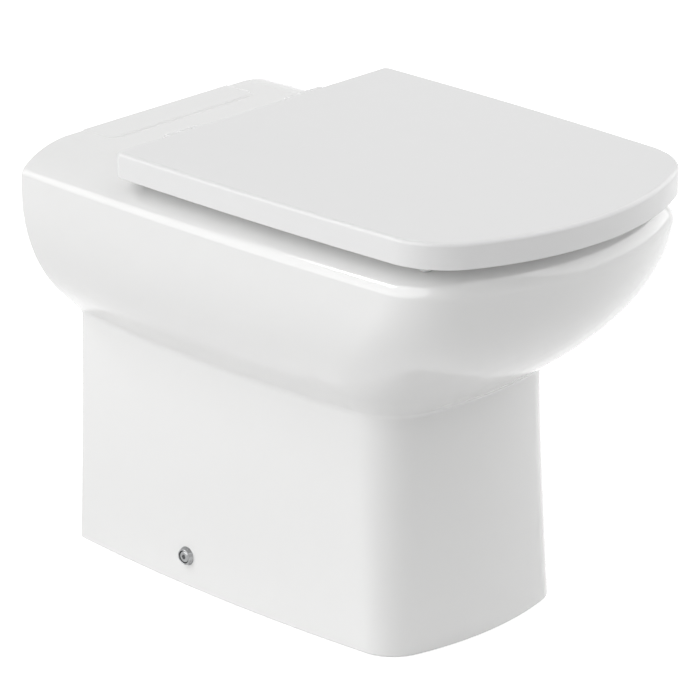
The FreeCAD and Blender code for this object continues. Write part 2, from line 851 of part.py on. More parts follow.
lid = new_body("lid")
pad(lid, outline_sketch(lid, lid_outline(), "seat_bottom"), "lid_top - seat_bottom")
round_level_edges(lid, size("lid_top"), "lid_edge_radius")
inside_of_lid = outline_sketch(lid, lid_outline(size("lid_wall")), "seat_bottom")
pocket(lid, inside_of_lid, "lid_ceiling - seat_bottom", upward=True)
for name, side in SIDES:
    far = "notch_far" if side > 0 else "-notch_near"
    span = ("notch_inner", "notch_outer", "notch_bottom", "notch_top")
    notch = rectangle_sketch(lid, "YZ_Plane", *span, offset=far)
    pocket(lid, notch, "notch_far - notch_near")
add_knuckles(lid, "lid_knuckle_near", "lid_arm_root", "eye_top")


# Buffers under the seat, shaped to the rim below them, and under the lid

ring_corner = Part.Arc(*seat_outline()[1][2])
along_corner = mix(ring_corner.FirstParameter, ring_corner.LastParameter, BUFFER_SHARE)
on_corner = ring_corner.value(along_corner)
inward = ring_corner.centerOfCurvature(along_corner) - on_corner
front_buffer = on_corner + inward * (size("buffer_inset") / inward.Length)
note("front_buffer_across", abs(front_buffer.x))
note("front_buffer_y", size("wall_y") - front_buffer.y)
note("rear_buffer_across", "=(lid_width + seat_hole_width) / 4 - (lid_wall + seat_gap) / 2")
note("rear_buffer_y", "=wall_y - widest_from_wall")
doc.recompute()

rest = doc.addObject("Part::Feature", "rest_of_seat")
rest.Shape = outside_shape
bind(rest, Placement__Base__z="rest_gap")
for end in ("front", "rear"):
    for name, side in SIDES:
        across = f"{side} * {end}_buffer_across"
        along = f"{end}_buffer_y"
        foot = "rim_height - shoulder_drop"
        seat_buffer = cylinder("buffer_radius", f"seat_bottom - ({foot})", across, along, foot)
        keep(combine("Part::Cut", seat_buffer, rest), f"{end}_{name}_seat_buffer")
        lid_foot = "seat_top + rest_gap"
        lid_buffer = cylinder("buffer_radius", "lid_lift - rest_gap", across, along, lid_foot)
        keep(lid_buffer, f"{end}_{name}_lid_buffer")


# Hinges


def make_hinge_bracket(name, side):
    bracket = new_body(f"{name}_hinge_bracket")
    bind(bracket, Placement__Base__x=f"{side} * hinge_spacing / 2")
    base = circle_sketch(bracket, "XY_Plane", "base_radius", up="hinge_y", offset="base_bottom")
    pad(bracket, base, "base_thickness")
    round_level_edges(bracket, size("base_top"), "base_edge_radius")
    post = rectangle_sketch(bracket, "YZ_Plane", "post_front", "post_back", "base_bottom", "hinge_height")
    pad(bracket, post, "post_width", both_ways=True)
    eye = circle_sketch(bracket, "YZ_Plane", "eye_radius", "hinge_y", "hinge_height")
    pad(bracket, eye, "post_width", both_ways=True)
    pocket(bracket, circle_sketch(bracket, "YZ_Plane", "pin_bore_radius", "hinge_y", "hinge_height"))
    stud_hole = circle_sketch(bracket, "XY_Plane", "stud_bore_radius", up="hinge_y", offset="base_bottom")
    pocket(bracket, stud_hole, "stud_grip", upward=True)


for name, side in SIDES:
    make_hinge_bracket(name, side)
    x = f"{side} * hinge_spacing / 2"
    y = "hinge_y"
    stacked = {
        "hinge_pad": ("base_radius", "pad_thickness", "rim_height"),
        "hinge_sleeve": ("hinge_hole_radius - fixed_fit", "deck_thickness", "deck_underside"),
        "hinge_washer": ("washer_radius", "washer_thickness", "washer_bottom"),
    }
    for label, (radius, height, bottom) in stacked.items():
        keep(tube(radius, "stud_bore_radius", height, x, y, bottom), f"{name}_{label}")
    stud = cylinder("stud_radius", "base_bottom + stud_grip - stud_bottom", x, y, "stud_bottom")
    keep(stud, f"{name}_hinge_stud")
    hexagon = doc.addObject("Part::Prism", "hexagon")
    hexagon.Polygon = 6
    bind(hexagon, Circumradius="nut_flats / sqrt(3)", Height="nut_thickness")
    bind(hexagon, Placement__Base__x=x, Placement__Base__y=y, Placement__Base__z="nut_bottom")
    nut_hole = cylinder("stud_bore_radius", "nut_thickness", x, y, "nut_bottom")
    keep(combine("Part::Cut", hexagon, nut_hole), f"{name}_hinge_nut")
    outward = OUTWARD[side]
    pin_length = "seat_knuckle_near + knuckle_width - lid_knuckle_near"
    pin = cylinder("pin_radius", pin_length, f"{side} * lid_knuckle_near", y, "hinge_height", outward)
    keep(pin, f"{name}_hinge_pin")
    for owner in ("seat", "lid"):
        near = f"{side} * {owner}_knuckle_near"
        bush = tube("bush_radius", "pin_bore_radius", "knuckle_width", near, y, "hinge_height", outward)
        keep(bush, f"{name}_{owner}_bush")


# Side fixings to the floor


def make_floor_bracket(name, side):
    bracket = new_body(f"{name}_floor_bracket")
    bracket.Placement = Placement(Vector(), Rotation(Vector(0, 0, 1), 180 if side > 0 else 0))
    bind(bracket, Placement__Base__x=f"{side} * bracket_face", Placement__Base__y="fixing_y")
    foot = size("bracket_foot")
    high = size("bracket_height")
    thick = size("bracket_thickness")
    corners = [(0, 0), (foot, 0), (foot, thick), (thick, thick), (thick, high), (0, high)]
    angle = polygon_sketch(bracket, "XZ_Plane", corners)
    angle.addConstraint(Sketcher.Constraint("Coincident", 0, 1, -1, 1))
    hold(angle, "foot", "bracket_foot", "DistanceX", 0, 1, 0, 2)
    hold(angle, "foot_thickness", "bracket_thickness", "DistanceY", 1, 1, 1, 2)
    hold(angle, "leaf_thickness", "bracket_thickness", "DistanceX", 4, 2, 4, 1)
    hold(angle, "height", "bracket_height", "DistanceY", 5, 2, 5, 1)
    pad(bracket, angle, "bracket_width", both_ways=True)
    pocket(bracket, circle_sketch(bracket, "YZ_Plane", "screw_bore_radius", up="fixing_height"))
    pocket(bracket, circle_sketch(bracket, "XY_Plane", "bracket_hole_radius", across="bracket_hole_at"))


def cone(base_radius, end_radius, height, x, y, z, turn):
    item = doc.addObject("Part::Cone", "cone")
    item.Placement = Placement(Vector(), turn)
    bind(item, Radius1=base_radius, Radius2=end_radius, Height=height)
    bind(item, Placement__Base__x=x, Placement__Base__y=y, Placement__Base__z=z)
    return item


for name, side in SIDES:
    make_floor_bracket(name, side)
    outward = OUTWARD[side]

    def along_screw(start):
        return {"x": f"{side} * ({start})", "y": "fixing_y", "z": "fixing_height", "turn": outward}

    head_seat = "cup_face + cup_wall"
    crown = head_seat + " + screw_head_height"
    socket = doc.addObject("Part::Prism", "socket")
    socket.Polygon = 6
    socket.Placement = Placement(Vector(), outward)
    bind(socket, Circumradius="screw_socket_radius", Height="cup_depth")
    bind(socket, Placement__Base__x=f"{side} * ({crown} + screw_crown - screw_socket_depth)")
    bind(socket, Placement__Base__y="fixing_y", Placement__Base__z="fixing_height")
    screw = combine(
        "Part::Fuse",
        cylinder("screw_radius", head_seat + " - screw_tip", **along_screw("screw_tip")),
        cylinder("screw_head_radius", "screw_head_height", **along_screw(head_seat)),
        cone("screw_head_radius", "screw_head_radius - screw_crown", "screw_crown", **along_screw(crown)),
    )
    keep(combine("Part::Cut", screw, socket), f"{name}_fixing_screw")

    sleeve = tube(
        "fixing_hole_radius - fixed_fit",
        "screw_bore_radius",
        "cup_face - bracket_face",
        **along_screw("bracket_face"),
    )
    keep(combine("Part::Common", sleeve, outside), f"{name}_screw_sleeve")

    cup_body = combine(
        "Part::Fuse",
        cylinder("cup_radius", "cup_depth / 2", **along_screw("cup_face - cup_depth / 2")),
        cone("cup_radius", "cup_radius - cup_taper", "cup_depth", **along_screw("cup_face")),
    )
    head_recess = cylinder("screw_head_radius + side_play", "cup_depth", **along_screw(head_seat))
    screw_hole = cylinder("screw_bore_radius", "2 * cup_depth", **along_screw("cup_face - cup_depth"))
    keep(combine("Part::Cut", cup_body, outside, head_recess, screw_hole), f"{name}_screw_cup")


# Seal in the flush inlet


def along_inlet(start):
    return {"x": "0", "y": f"wall_y - inlet_from_wall - {start}", "z": "inlet_height", "turn": ALONG_Y}


seal = combine(
    "Part::Fuse",
    cylinder("inlet_bore_radius - fixed_fit", "seal_length", **along_inlet("seal_length")),
    cylinder("seal_flange_radius", "seal_flange", **along_inlet("0")),
)
seal_bore = cylinder("seal_bore_radius", "seal_length + seal_flange", **along_inlet("seal_length"))
keep(combine("Part::Cut", seal, seal_bore), "flush_inlet_seal")


# Checks and export

doc.recompute()
for item in doc.Objects:
    if "Invalid" in item.State or "Error" in item.State:
        raise RuntimeError(f"{item.Label} could not be made: {item.State}")

os.makedirs("parts", exist_ok=True)
for item in pieces:
    shape = item.Shape
    if shape.isNull() or not shape.isValid() or len(shape.Solids) != 1:
        raise RuntimeError(f"{item.Label} is not one sound solid")
    shape.exportStep(f"parts/{item.Label}.step")
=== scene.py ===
import math

import bpy
import numpy as np
from bpy.props import FloatProperty, FloatVectorProperty, IntProperty, PointerProperty
from mathutils import Matrix, Vector
from mathutils.bvhtree import BVHTree


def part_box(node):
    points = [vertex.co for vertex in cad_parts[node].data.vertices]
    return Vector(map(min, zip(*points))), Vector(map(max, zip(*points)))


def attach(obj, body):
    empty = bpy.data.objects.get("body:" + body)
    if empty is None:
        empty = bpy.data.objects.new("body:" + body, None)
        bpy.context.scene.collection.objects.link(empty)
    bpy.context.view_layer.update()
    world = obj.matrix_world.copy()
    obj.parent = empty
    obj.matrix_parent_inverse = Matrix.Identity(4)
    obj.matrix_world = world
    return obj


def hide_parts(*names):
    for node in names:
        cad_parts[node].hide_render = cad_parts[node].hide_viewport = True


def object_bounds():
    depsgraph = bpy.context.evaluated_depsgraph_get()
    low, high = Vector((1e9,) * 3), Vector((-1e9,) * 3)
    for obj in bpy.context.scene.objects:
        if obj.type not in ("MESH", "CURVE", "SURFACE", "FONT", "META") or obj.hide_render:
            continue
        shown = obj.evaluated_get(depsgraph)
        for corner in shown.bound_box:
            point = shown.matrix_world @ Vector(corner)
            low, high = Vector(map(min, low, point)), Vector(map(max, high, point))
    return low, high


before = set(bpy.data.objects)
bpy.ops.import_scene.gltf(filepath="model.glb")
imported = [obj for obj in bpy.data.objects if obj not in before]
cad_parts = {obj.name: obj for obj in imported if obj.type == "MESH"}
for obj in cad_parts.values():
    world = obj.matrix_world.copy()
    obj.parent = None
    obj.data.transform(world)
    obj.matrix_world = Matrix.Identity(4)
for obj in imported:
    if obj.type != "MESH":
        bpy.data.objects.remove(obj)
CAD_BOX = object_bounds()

bl_info = {
    "name": "Back-to-wall toilet",
    "version": (1, 0, 0),
    "blender": (4, 5, 0),
    "location": "3D View > Sidebar > Toilet",
    "description": "Builds the china pan, the seat, the lid, their fixings and a studio on the packed frame",
    "category": "Add Mesh",
}

# The wall plane, which every distance from the wall is measured from
WALL_Y = float(CAD_BOX[1][1])

CASTING = ("pan_casing", "pan_underside", "pedestal", "bowl", "trapway", "flush_horn")
SIDES = ("left", "right")
CORNERS = ("front_left", "front_right", "rear_left", "rear_right")


def length(name, description, default):
    return FloatProperty(name=name, description=description, default=default, unit="LENGTH", precision=4)


def angle(name, description, degrees):
    return FloatProperty(name=name, description=description, default=math.radians(degrees), subtype="ANGLE")


def strength(name, description, default):
    return FloatProperty(name=name, description=description, default=default)


def colour(name, description, default):
    return FloatVectorProperty(
        name=name, description=description, default=default, size=3, subtype="COLOR", min=0.0, max=1.0
    )


class PanSizes(bpy.types.PropertyGroup):
    """Outside of the china pan and the thickness of its walls."""

    width: length("Width", "Across the widest part of the pan", 0.355)
    projection: length("Projection", "From the wall to the front of the rim", 0.550)
    rim_height: length("Rim height", "From the floor to the deck", 0.400)
    widest_from_wall: length("Widest point", "Distance from the wall to the widest part", 0.230)
    bow_radius: length("Side bow", "Radius of the bowed sides at the rim", 4.640)
    front_radius: length("Front radius", "Radius of the front at the rim", 0.286)
    corner_radius: length("Corner radius", "Radius of the front corners at the rim", 0.069)
    corner_swell: length("Corner swell", "Extra corner radius halfway down the front", 0.052)
    shoulder_width: length("Shoulder width", "Width of the rounded shoulder of the rim", 0.056)
    front_shoulder: length("Front shoulder", "Width of the rounded shoulder at the front", 0.022)
    shoulder_drop: length("Shoulder drop", "Height of the rounded shoulder of the rim", 0.024)
    flank_height: length("Flank height", "Height of the upright band under the shoulder", 0.016)
    underside_radius: length("Underside radius", "Radius of the curve under the flank", 0.155)
    front_edge_drop: length("Front edge", "Drop of the front's widest line below the deck", 0.007)
    crease_height: length("Crease height", "Where the upper body meets the pedestal", 0.226)
    crease_width: length("Crease width", "Width at the crease", 0.233)
    crease_projection: length("Crease projection", "From the wall to the front of the crease", 0.416)
    crease_bow_radius: length("Crease bow", "Radius of the sides at the crease", 1.577)
    crease_front_radius: length("Crease front radius", "Radius of the front at the crease", 0.369)
    crease_corner_radius: length("Crease corner", "Radius of the corners at the crease", 0.049)
    crease_softness: length("Crease softness", "How far the crease is rounded up and down", 0.004)
    foot_width: length("Foot width", "Width at the floor", 0.239)
    foot_projection: length("Foot projection", "From the wall to the front at the floor", 0.425)
    foot_bow_radius: length("Foot bow", "Radius of the sides at the floor", 2.007)
    foot_front_radius: length("Foot front radius", "Radius of the front at the floor", 0.320)
    foot_corner_radius: length("Foot corner", "Radius of the corners at the floor", 0.041)
    edge_round: length("Glazed edge", "Rounding of the edges at the floor and at the wall", 0.002)
    china_wall: length("China wall", "Thickness of the casting", 0.010)
    deck_thickness: length("Deck thickness", "Thickness of the casting under the deck", 0.012)
    step_width: length("Deck step width", "Width of the raised step at the wall", 0.190)
    step_depth: length("Deck step depth", "Depth of the raised step at the wall", 0.040)
    step_height: length("Deck step height", "Height of the raised step at the wall", 0.001)
    step_corner: length("Deck step corner", "Radius of the step's front corners", 0.012)


class WaterSizes(bpy.types.PropertyGroup):
    """Bowl, trap and flush inlet inside the casting."""

    rim_width: length("Rim width", "From the outside of the pan to the bowl", 0.0535)
    bowl_from_wall: length("Bowl from wall", "From the wall to the back of the bowl", 0.196)
    bowl_edge: length("Bowl edge", "Rounding of the bowl's upper edge", 0.007)
    sump_from_wall: length("Sump from wall", "From the wall to the middle of the sump", 0.333)
    trap_bore: length("Trap bore", "Inside radius of the trap", 0.041)
    trap_bend: length("Trap bend", "Radius of the trap's bends at its middle line", 0.058)
    trap_height: length("Trap height", "Height of the trap's lowest middle point", 0.058)
    trap_climb: angle("Trap climb", "Slope of the rising limb", 50)
    outlet_height: length("Outlet height", "Height of the outlet's middle", 0.185)
    outlet_from_wall: length("Outlet from wall", "From the wall to the end of the spigot", 0.025)
    inlet_height: length("Inlet height", "Height of the flush inlet's middle", 0.335)
    inlet_from_wall: length("Inlet from wall", "From the wall to the mouth of the flush horn", 0.070)
    inlet_bore: length("Inlet bore", "Inside radius of the flush horn", 0.0275)
    seal_bore: length("Seal bore", "Inside radius of the flush seal", 0.0225)
    seal_flange_radius: length("Seal flange", "Outside radius of the seal's flange", 0.034)
    seal_flange: length("Seal flange thickness", "Thickness of the seal's flange", 0.004)
    seal_length: length("Seal length", "How far the seal goes into the horn", 0.030)
    seal_beads: IntProperty(
        name="Seal beads", description="Raised rings on the seal's flange", default=3, min=1
    )


class SeatSizes(bpy.types.PropertyGroup):
    """Lid, seat ring and the buffers under them."""

    lid_width: length("Lid width", "Across the widest part of the lid", 0.351)
    lid_projection: length("Lid projection", "From the wall to the front of the lid", 0.555)
    lid_from_wall: length("Lid from wall", "From the wall to the back of the lid", 0.128)
    front_radius: length("Front radius", "Radius of the lid's front", 0.278)
    corner_radius: length("Corner radius", "Radius of the lid's front corners", 0.072)
    rear_corner: length("Rear corner", "Radius of the lid's rear corners", 0.006)
    lid_wall: length("Lid wall", "Thickness of the lid", 0.004)
    lid_edge: length("Lid edge", "Rounding of the lid's upper edge", 0.0035)
    lid_lip: length("Lid lip", "Rounding of the lid's lower edge", 0.0012)
    seat_bottom: length("Seat bottom", "Height of the underside of the seat and of the lid's lower edge", 0.405)
    seat_top: length("Seat top", "Height of the top of the seat", 0.420)
    lid_ceiling: length("Lid ceiling", "Height of the inside of the lid", 0.425)
    lid_top: length("Lid top", "Height of the top of the lid", 0.429)
    seat_inset: length("Seat inset", "From the lid's outside to the seat ring", 0.007)
    seat_edge: length("Seat edge", "Rounding of the seat's upper edges", 0.005)
    seat_under_edge: length("Seat under edge", "Rounding of the seat's lower edges", 0.0025)
    seat_dish: length("Seat dish", "Fall of the seat's top towards its hole", 0.0012)
    seat_from_wall: length("Seat from wall", "From the wall to the back of the ring", 0.13803)
    ring_width: length("Ring width", "Width of the ring at the front", 0.057)
    hole_width: length("Hole width", "Width of the seat's hole", 0.223)
    hole_from_wall: length("Hole from wall", "From the wall to the back of the hole", 0.204)
    hole_front_radius: length("Hole front radius", "Radius of the front of the hole", 0.140)
    hole_corner: length("Hole corner", "Radius of the hole's corners", 0.075)
    buffer_edge: length("Buffer edge", "Rounding of the buffers' rims", 0.0014)
    rest_gap: length("Rest gap", "Space between a buffer and what it rests on", 0.0004)


class HingeSizes(bpy.types.PropertyGroup):
    """Hinges of the seat and the lid, with their fixing through the deck."""

    spacing: length("Hinge spacing", "Between the two hinge studs", 0.155)
    from_wall: length("Hinge from wall", "From the wall to the hinge pins", 0.117)
    height: length("Hinge height", "Height of the hinge pins", 0.4175)
    eye_radius: length("Eye radius", "Outside radius of the hinge eyes", 0.0065)
    pin_radius: length("Pin radius", "Radius of the hinge pins", 0.003)
    post_width: length("Post width", "Width of the bracket's post", 0.015)
    knuckle_width: length("Knuckle width", "Width of the eyes on the seat and the lid", 0.014)
    side_play: length("Side play", "Space between an eye and the post", 0.0005)
    swing_clearance: length("Swing clearance", "Room round the seat's arms in the lid", 0.0015)
    base_radius: length("Base radius", "Radius of the bracket's base", 0.020)
    base_bottom: length("Base bottom", "Height of the underside of the base", 0.401)
    base_thickness: length("Base thickness", "Thickness of the base", 0.003)
    stud_radius: length("Stud radius", "Radius of the fixing stud", 0.004)
    stud_grip: length("Stud grip", "How far the stud goes into the bracket", 0.008)
    stud_bottom: length("Stud bottom", "Height of the stud's lower end", 0.370)
    thread_pitch: length("Thread pitch", "Rise of the thread in one turn", 0.00125)
    thread_depth: length("Thread depth", "Depth of the thread", 0.0006)
    sleeve_radius: length("Sleeve radius", "Outside radius of the sleeve in the deck", 0.00799)
    washer_radius: length("Washer radius", "Outside radius of the washer", 0.014)
    washer_bottom: length("Washer bottom", "Height of the washer's underside", 0.385)
    nut_flats: length("Nut flats", "Across the flats of the nut", 0.013)
    nut_thickness: length("Nut thickness", "Thickness of the nut", 0.007)
    bush_wall: length("Bush wall", "Thickness of the bearing bushes", 0.0016)


class FixingSizes(bpy.types.PropertyGroup):
    """Side screws and the floor brackets behind them."""

    from_wall: length("Fixing from wall", "From the wall to the side screw", 0.155)
    height: length("Fixing height", "Height of the side screw", 0.030)
    hole_radius: length("Hole radius", "Radius of the hole in the pedestal", 0.006)
    bracket_width: length("Bracket width", "Width of the floor bracket", 0.040)
    bracket_height: length("Bracket height", "Height of the upright leaf", 0.045)
    bracket_foot: length("Bracket foot", "Length of the level leaf", 0.042)
    bracket_thickness: length("Bracket thickness", "Thickness of the leaves", 0.004)
    bracket_hole: length("Bracket hole", "Radius of the floor screw's hole", 0.0045)
    screw_radius: length("Screw radius", "Radius of the screw", 0.003)
    thread_pitch: length("Screw pitch", "Rise of the screw's thread in one turn", 0.001)
    thread_depth: length("Screw thread depth", "Depth of the screw's thread", 0.0005)
    head_radius: length("Head radius", "Radius of the screw's head", 0.0055)
    head_height: length("Head height", "Height of the head's edge", 0.0014)
    head_crown: length("Head crown", "Height of the head's crown", 0.001)
    socket_radius: length("Socket radius", "Corner radius of the six-sided socket", 0.0025)
    socket_depth: length("Socket depth", "Depth of the socket", 0.0018)
    cup_radius: length("Cup radius", "Radius of the cup under the head", 0.009)
    cup_depth: length("Cup depth", "How far the cup stands out", 0.004)
    cup_wall: length("Cup wall", "Thickness of the cup's floor", 0.0012)
    cup_taper: length("Cup taper", "How much narrower the cup's outer edge is", 0.0015)


class Finishes(bpy.types.PropertyGroup):
    """Colours of the materials."""

    china: colour("China", "Glaze on the pan", (0.820, 0.820, 0.815))
    lid: colour("Lid", "Moulding of the lid", (0.800, 0.800, 0.800))
    seat: colour("Seat", "Moulding of the seat ring and the hinge brackets", (0.800, 0.800, 0.800))
    buffers: colour("Buffers", "Soft feet under the seat and the lid", (0.740, 0.740, 0.725))
    chrome: colour("Chrome", "Side screws and their cups", (0.330, 0.335, 0.340))
    steel: colour("Steel", "Plated studs, nuts, pins and floor brackets", (0.520, 0.530, 0.550))
    nylon: colour("Nylon", "Sleeves, bushes and washers", (0.720, 0.715, 0.680))
    rubber: colour("Rubber", "Pads and the flush seal", (0.028, 0.028, 0.029))
    floor: colour("Floor", "Floor of the studio", (0.800, 0.800, 0.800))


class StageSettings(bpy.types.PropertyGroup):
    """Camera and light of the studio."""

    azimuth: angle("Azimuth", "Camera turn from the front", -46.0)
    elevation: angle("Elevation", "Camera height angle", 20.72)
    distance: length("Distance", "From the camera to its aim", 4.650)
    aim_along: length("Aim along", "Where the camera aims, along the depth", 0.0275)
    aim_height: length("Aim height", "Where the camera aims, above the floor", 0.2252)
    focal_length: FloatProperty(
        name="Focal length", description="Lens in millimetres on a 36 mm sensor", default=263.06
    )
    ambient: strength("Ambient", "Even light from all around", 0.10)
    key: strength("Key", "Strength of the soft light from the left", 2.3)
    fill: strength("Fill", "Strength of the soft light from the right", 1.92)
    top: strength("Top", "Strength of the soft light above the front", 0.3)
    streak: strength("Streak", "Strength of the small light for the streak on the rim", 0.18)


SIZE_GROUPS = {
    "toilet_pan": PanSizes,
    "toilet_water": WaterSizes,
    "toilet_seat": SeatSizes,
    "toilet_hinges": HingeSizes,
    "toilet_fixings": FixingSizes,
    "toilet_finishes": Finishes,
    "toilet_stage": StageSettings,
}

# Powers and shares of the pan's curves, which have no unit
SHOULDER_POWER = 1.7
FLARE_POWER = 1.6
SHOULDER_CORNER_SHARE = 0.6
UNDERSIDE_SLOPE = math.radians(45)
CREASE_REACH = 3
CREASE_FADE = 0.9
BOWL_FRONT_POWER = 1.2
BOWL_SIDE_POWER = 0.5
BOWL_REAR_POWER = 0.6
BOWL_SQUARENESS = 0.8
BOWL_SPACING_POWER = 1.3
THROAT_SHARE = 1.12
STEP_RAMP = 4
JET_REACH = 4

# Shares of the nut's slopes, the screw head's dome and the floor bracket's bends
NUT_SLOPE = 0.6
HEAD_DOME = 1.6
BEND_OUTSIDE = 1.2
BEND_INSIDE = 0.5

# Points along each rear corner, side, front corner, half of the front and the rear, and round the bowl
PAN_COUNTS = (4, 26, 20, 16, 12)
LID_COUNTS = (8, 30, 22, 18, 16)
BOWL_COUNT = 120

# How much of a rear corner's radius an inset may take, on the lid and on the seat ring
LID_CORNER_SHARE = 0.7
RING_CORNER_SHARE = 0.8

# How far a cutting shape runs past the face that it opens, and how far a long bore reaches
OVERRUN = 0.005
BORE_REACH = 0.2

# Play of a piece that turns and of one that sits tight, a lift that keeps two faces apart, and a head's room
TURNING_FIT = 0.00005
TIGHT_FIT = 0.00001
FACE_LIFT = 0.00002
HEAD_ROOM = 0.0005

# Broken edges and small roundings
FINE_EDGE = 0.0002
THIN_EDGE = 0.0003
SLEEVE_EDGE = 0.0004
PIN_EDGE = 0.0005
PLATE_EDGE = 0.0006
KNUCKLE_EDGE = 0.0007
POST_EDGE = 0.0008
BASE_EDGE = 0.001
LID_INNER_EDGE = 0.0025
BUFFER_DIMPLE = 0.0004

# Angles in degrees: where an eye's back meets its arm, and past which an edge between faces stays sharp
EYE_BACK = 157
SHARP = 35.0
MOULDED_SHARP = 32.0
NUT_SHARP = 25.0


# Plan outlines


def mix(start, end, share):
    return start + (end - start) * share


def arc_points(centre, radius, start, end, count):
    """Points of an arc from its start up to, but not including, its end."""
    begin = math.atan2(start[1] - centre[1], start[0] - centre[0])
    finish = math.atan2(end[1] - centre[1], end[0] - centre[0])
    sweep = (finish - begin + math.pi) % (2 * math.pi) - math.pi
    turns = begin + sweep * np.arange(count) / count
    return np.stack([centre[0] + radius * np.cos(turns), centre[1] + radius * np.sin(turns)], axis=1)


def on_circle(centre, radius, towards):
    away = towards - centre
    return centre + away * (radius / np.linalg.norm(away))


def outline(half_width, bow_radius, front, front_radius, corner_radius, rear, rear_corner, counts):
    """A closed ring of (x, distance from the wall): bowed sides, rounded corners and a curved front.

    Counts are the points along each rear corner, side, front corner, half of the front and the rear.
    """
    widest = bpy.context.scene.toilet_pan.widest_from_wall
    side = np.array([bow_radius - half_width, widest])
    nose = np.array([0.0, front - front_radius])
    side_reach = bow_radius - corner_radius
    front_reach = front_radius - corner_radius
    between = nose - side
    span = np.linalg.norm(between)
    along = (side_reach**2 - front_reach**2 + span**2) / (2 * span)
    off = math.sqrt(side_reach**2 - along**2)
    across = np.array([-between[1], between[0]]) * (off / span)
    foot = side + between * (along / span)
    corner = max(foot + across, foot - across, key=lambda point: point[1])
    leave_side = on_circle(side, bow_radius, corner)
    leave_corner = on_circle(nose, front_radius, corner)
    heel_at = rear + rear_corner
    heel_reach = bow_radius - rear_corner
    heel = np.array([side[0] - math.sqrt(heel_reach**2 - (heel_at - widest) ** 2), heel_at])
    rear_point = np.array([heel[0], rear])
    start = on_circle(side, bow_radius, heel)
    tip = np.array([0.0, front])
    left = np.concatenate([
        arc_points(heel, rear_corner, rear_point, start, counts[0]),
        arc_points(side, bow_radius, start, leave_side, counts[1]),
        arc_points(corner, corner_radius, leave_side, leave_corner, counts[2]),
        arc_points(nose, front_radius, leave_corner, tip, counts[3]),
    ])
    right = left[::-1] * np.array([-1.0, 1.0])
    shares = (np.arange(1, counts[4]) / counts[4])[:, None]
    rear_line = mix(right[-1], left[0], shares)
    return np.concatenate([left, tip[None], right, rear_line])


def oval(half_width, rear, front, power, count):
    """A closed ring between an ellipse, at power 2, and a rounded box, at higher powers."""
    turn = math.pi + 2 * math.pi * np.arange(count) / count
    across = np.sign(np.cos(turn)) * np.abs(np.cos(turn)) ** (2 / power)
    along = -np.sign(np.sin(turn)) * np.abs(np.sin(turn)) ** (2 / power)
    return np.stack([half_width * across, (rear + front) / 2 + (front - rear) / 2 * along], axis=1)


def level(ring, z):
    """Places a plan ring at a height."""
    return np.column_stack([ring[:, 0], WALL_Y - ring[:, 1], np.full(len(ring), z)])


def bend_points(centre, radius, begin, end, count):
    """Points round a centre, between two angles in degrees."""
    turns = np.radians(np.linspace(begin, end, count))
    return [(centre[0] + radius * math.cos(turn), centre[1] + radius * math.sin(turn)) for turn in turns]


def rounded(radius, inset, z, begin, end, count):
    """(Inset, height) round a corner whose centre is at an inset and a height. Angle 0 points outwards."""
    return bend_points((inset, z), radius, 180 - begin, 180 - end, count)


# Meshes


def new_object(name, mesh):
    piece = bpy.data.objects.new(name, mesh)
    bpy.context.scene.collection.objects.link(piece)
    return piece


def remove_piece(piece):
    mesh = piece.data
    bpy.data.objects.remove(piece)
    bpy.data.meshes.remove(mesh)


def ring_solid(name, rings, closed=False):
    """A solid through rings of equal counts. It ends in flat caps, or joins its last ring to its first."""
    count = len(rings[0])
    index = np.arange(len(rings) * count).reshape(-1, count)
    if closed:
        index = np.concatenate([index, index[:1]])
    here, above = index[:-1], index[1:]
    quads = np.stack([here, np.roll(here, -1, 1), np.roll(above, -1, 1), above], axis=2)
    faces = quads.reshape(-1, 4).tolist()
    if not closed:
        faces += [index[0][::-1].tolist(), index[-1].tolist()]
    mesh = bpy.data.meshes.new(name)
    mesh.from_pydata(np.concatenate(rings).tolist(), [], faces)
    mesh.validate()
    return new_object(name, mesh)


def turned(name, profile, axis="Z", at=(0, 0, 0), segments=64, closed=False):
    """A solid turned round an axis from (radius, distance along it), or a polygon with few segments."""
    angles = 2 * math.pi * np.arange(segments) / segments
    order = {"X": (2, 0, 1), "Y": (1, 2, 0), "Z": (0, 1, 2)}[axis]
    rings = []
    for radius, along in profile:
        ring = [radius * np.cos(angles), radius * np.sin(angles), np.full(segments, along)]
        rings.append(np.stack([ring[part] for part in order], axis=1) + np.array(at))
    return ring_solid(name, rings, closed)


def round_bar(name, radius, start, end, axis="Z", at=(0, 0, 0), segments=64):
    return turned(name, [(radius, start), (radius, end)], axis, at, segments)


def prism(name, profile, start, end, chamfer):
    """A solid along X from a closed (y, z) profile, with its ends chamfered."""
    points = np.array(profile)
    before = points - np.roll(points, 1, 0)
    after = np.roll(points, -1, 0) - points
    normal = np.stack([after[:, 1] + before[:, 1], -after[:, 0] - before[:, 0]], axis=1)
    normal /= np.linalg.norm(normal, axis=1)[:, None]
    rings = []
    for x, inset in ((start, chamfer), (start + chamfer, 0.0), (end - chamfer, 0.0), (end, chamfer)):
        flat = points - normal * inset
        rings.append(np.column_stack([np.full(len(flat), x), flat]))
    return ring_solid(name, rings)


def block(name, low, high):
    """A plain cutting block between two corners."""
    x = (low[0], high[0], high[0], low[0])
    y = (low[1], low[1], high[1], high[1])
    return ring_solid(name, [np.column_stack([x, y, [z] * 4]) for z in (low[2], high[2])])


def mirrored_tool(tool):
    """A copy of a cutting solid on the other side."""
    mesh = tool.data.copy()
    mesh.transform(Matrix.Scale(-1.0, 4, Vector((1, 0, 0))))
    mesh.flip_normals()
    return new_object(tool.name, mesh)


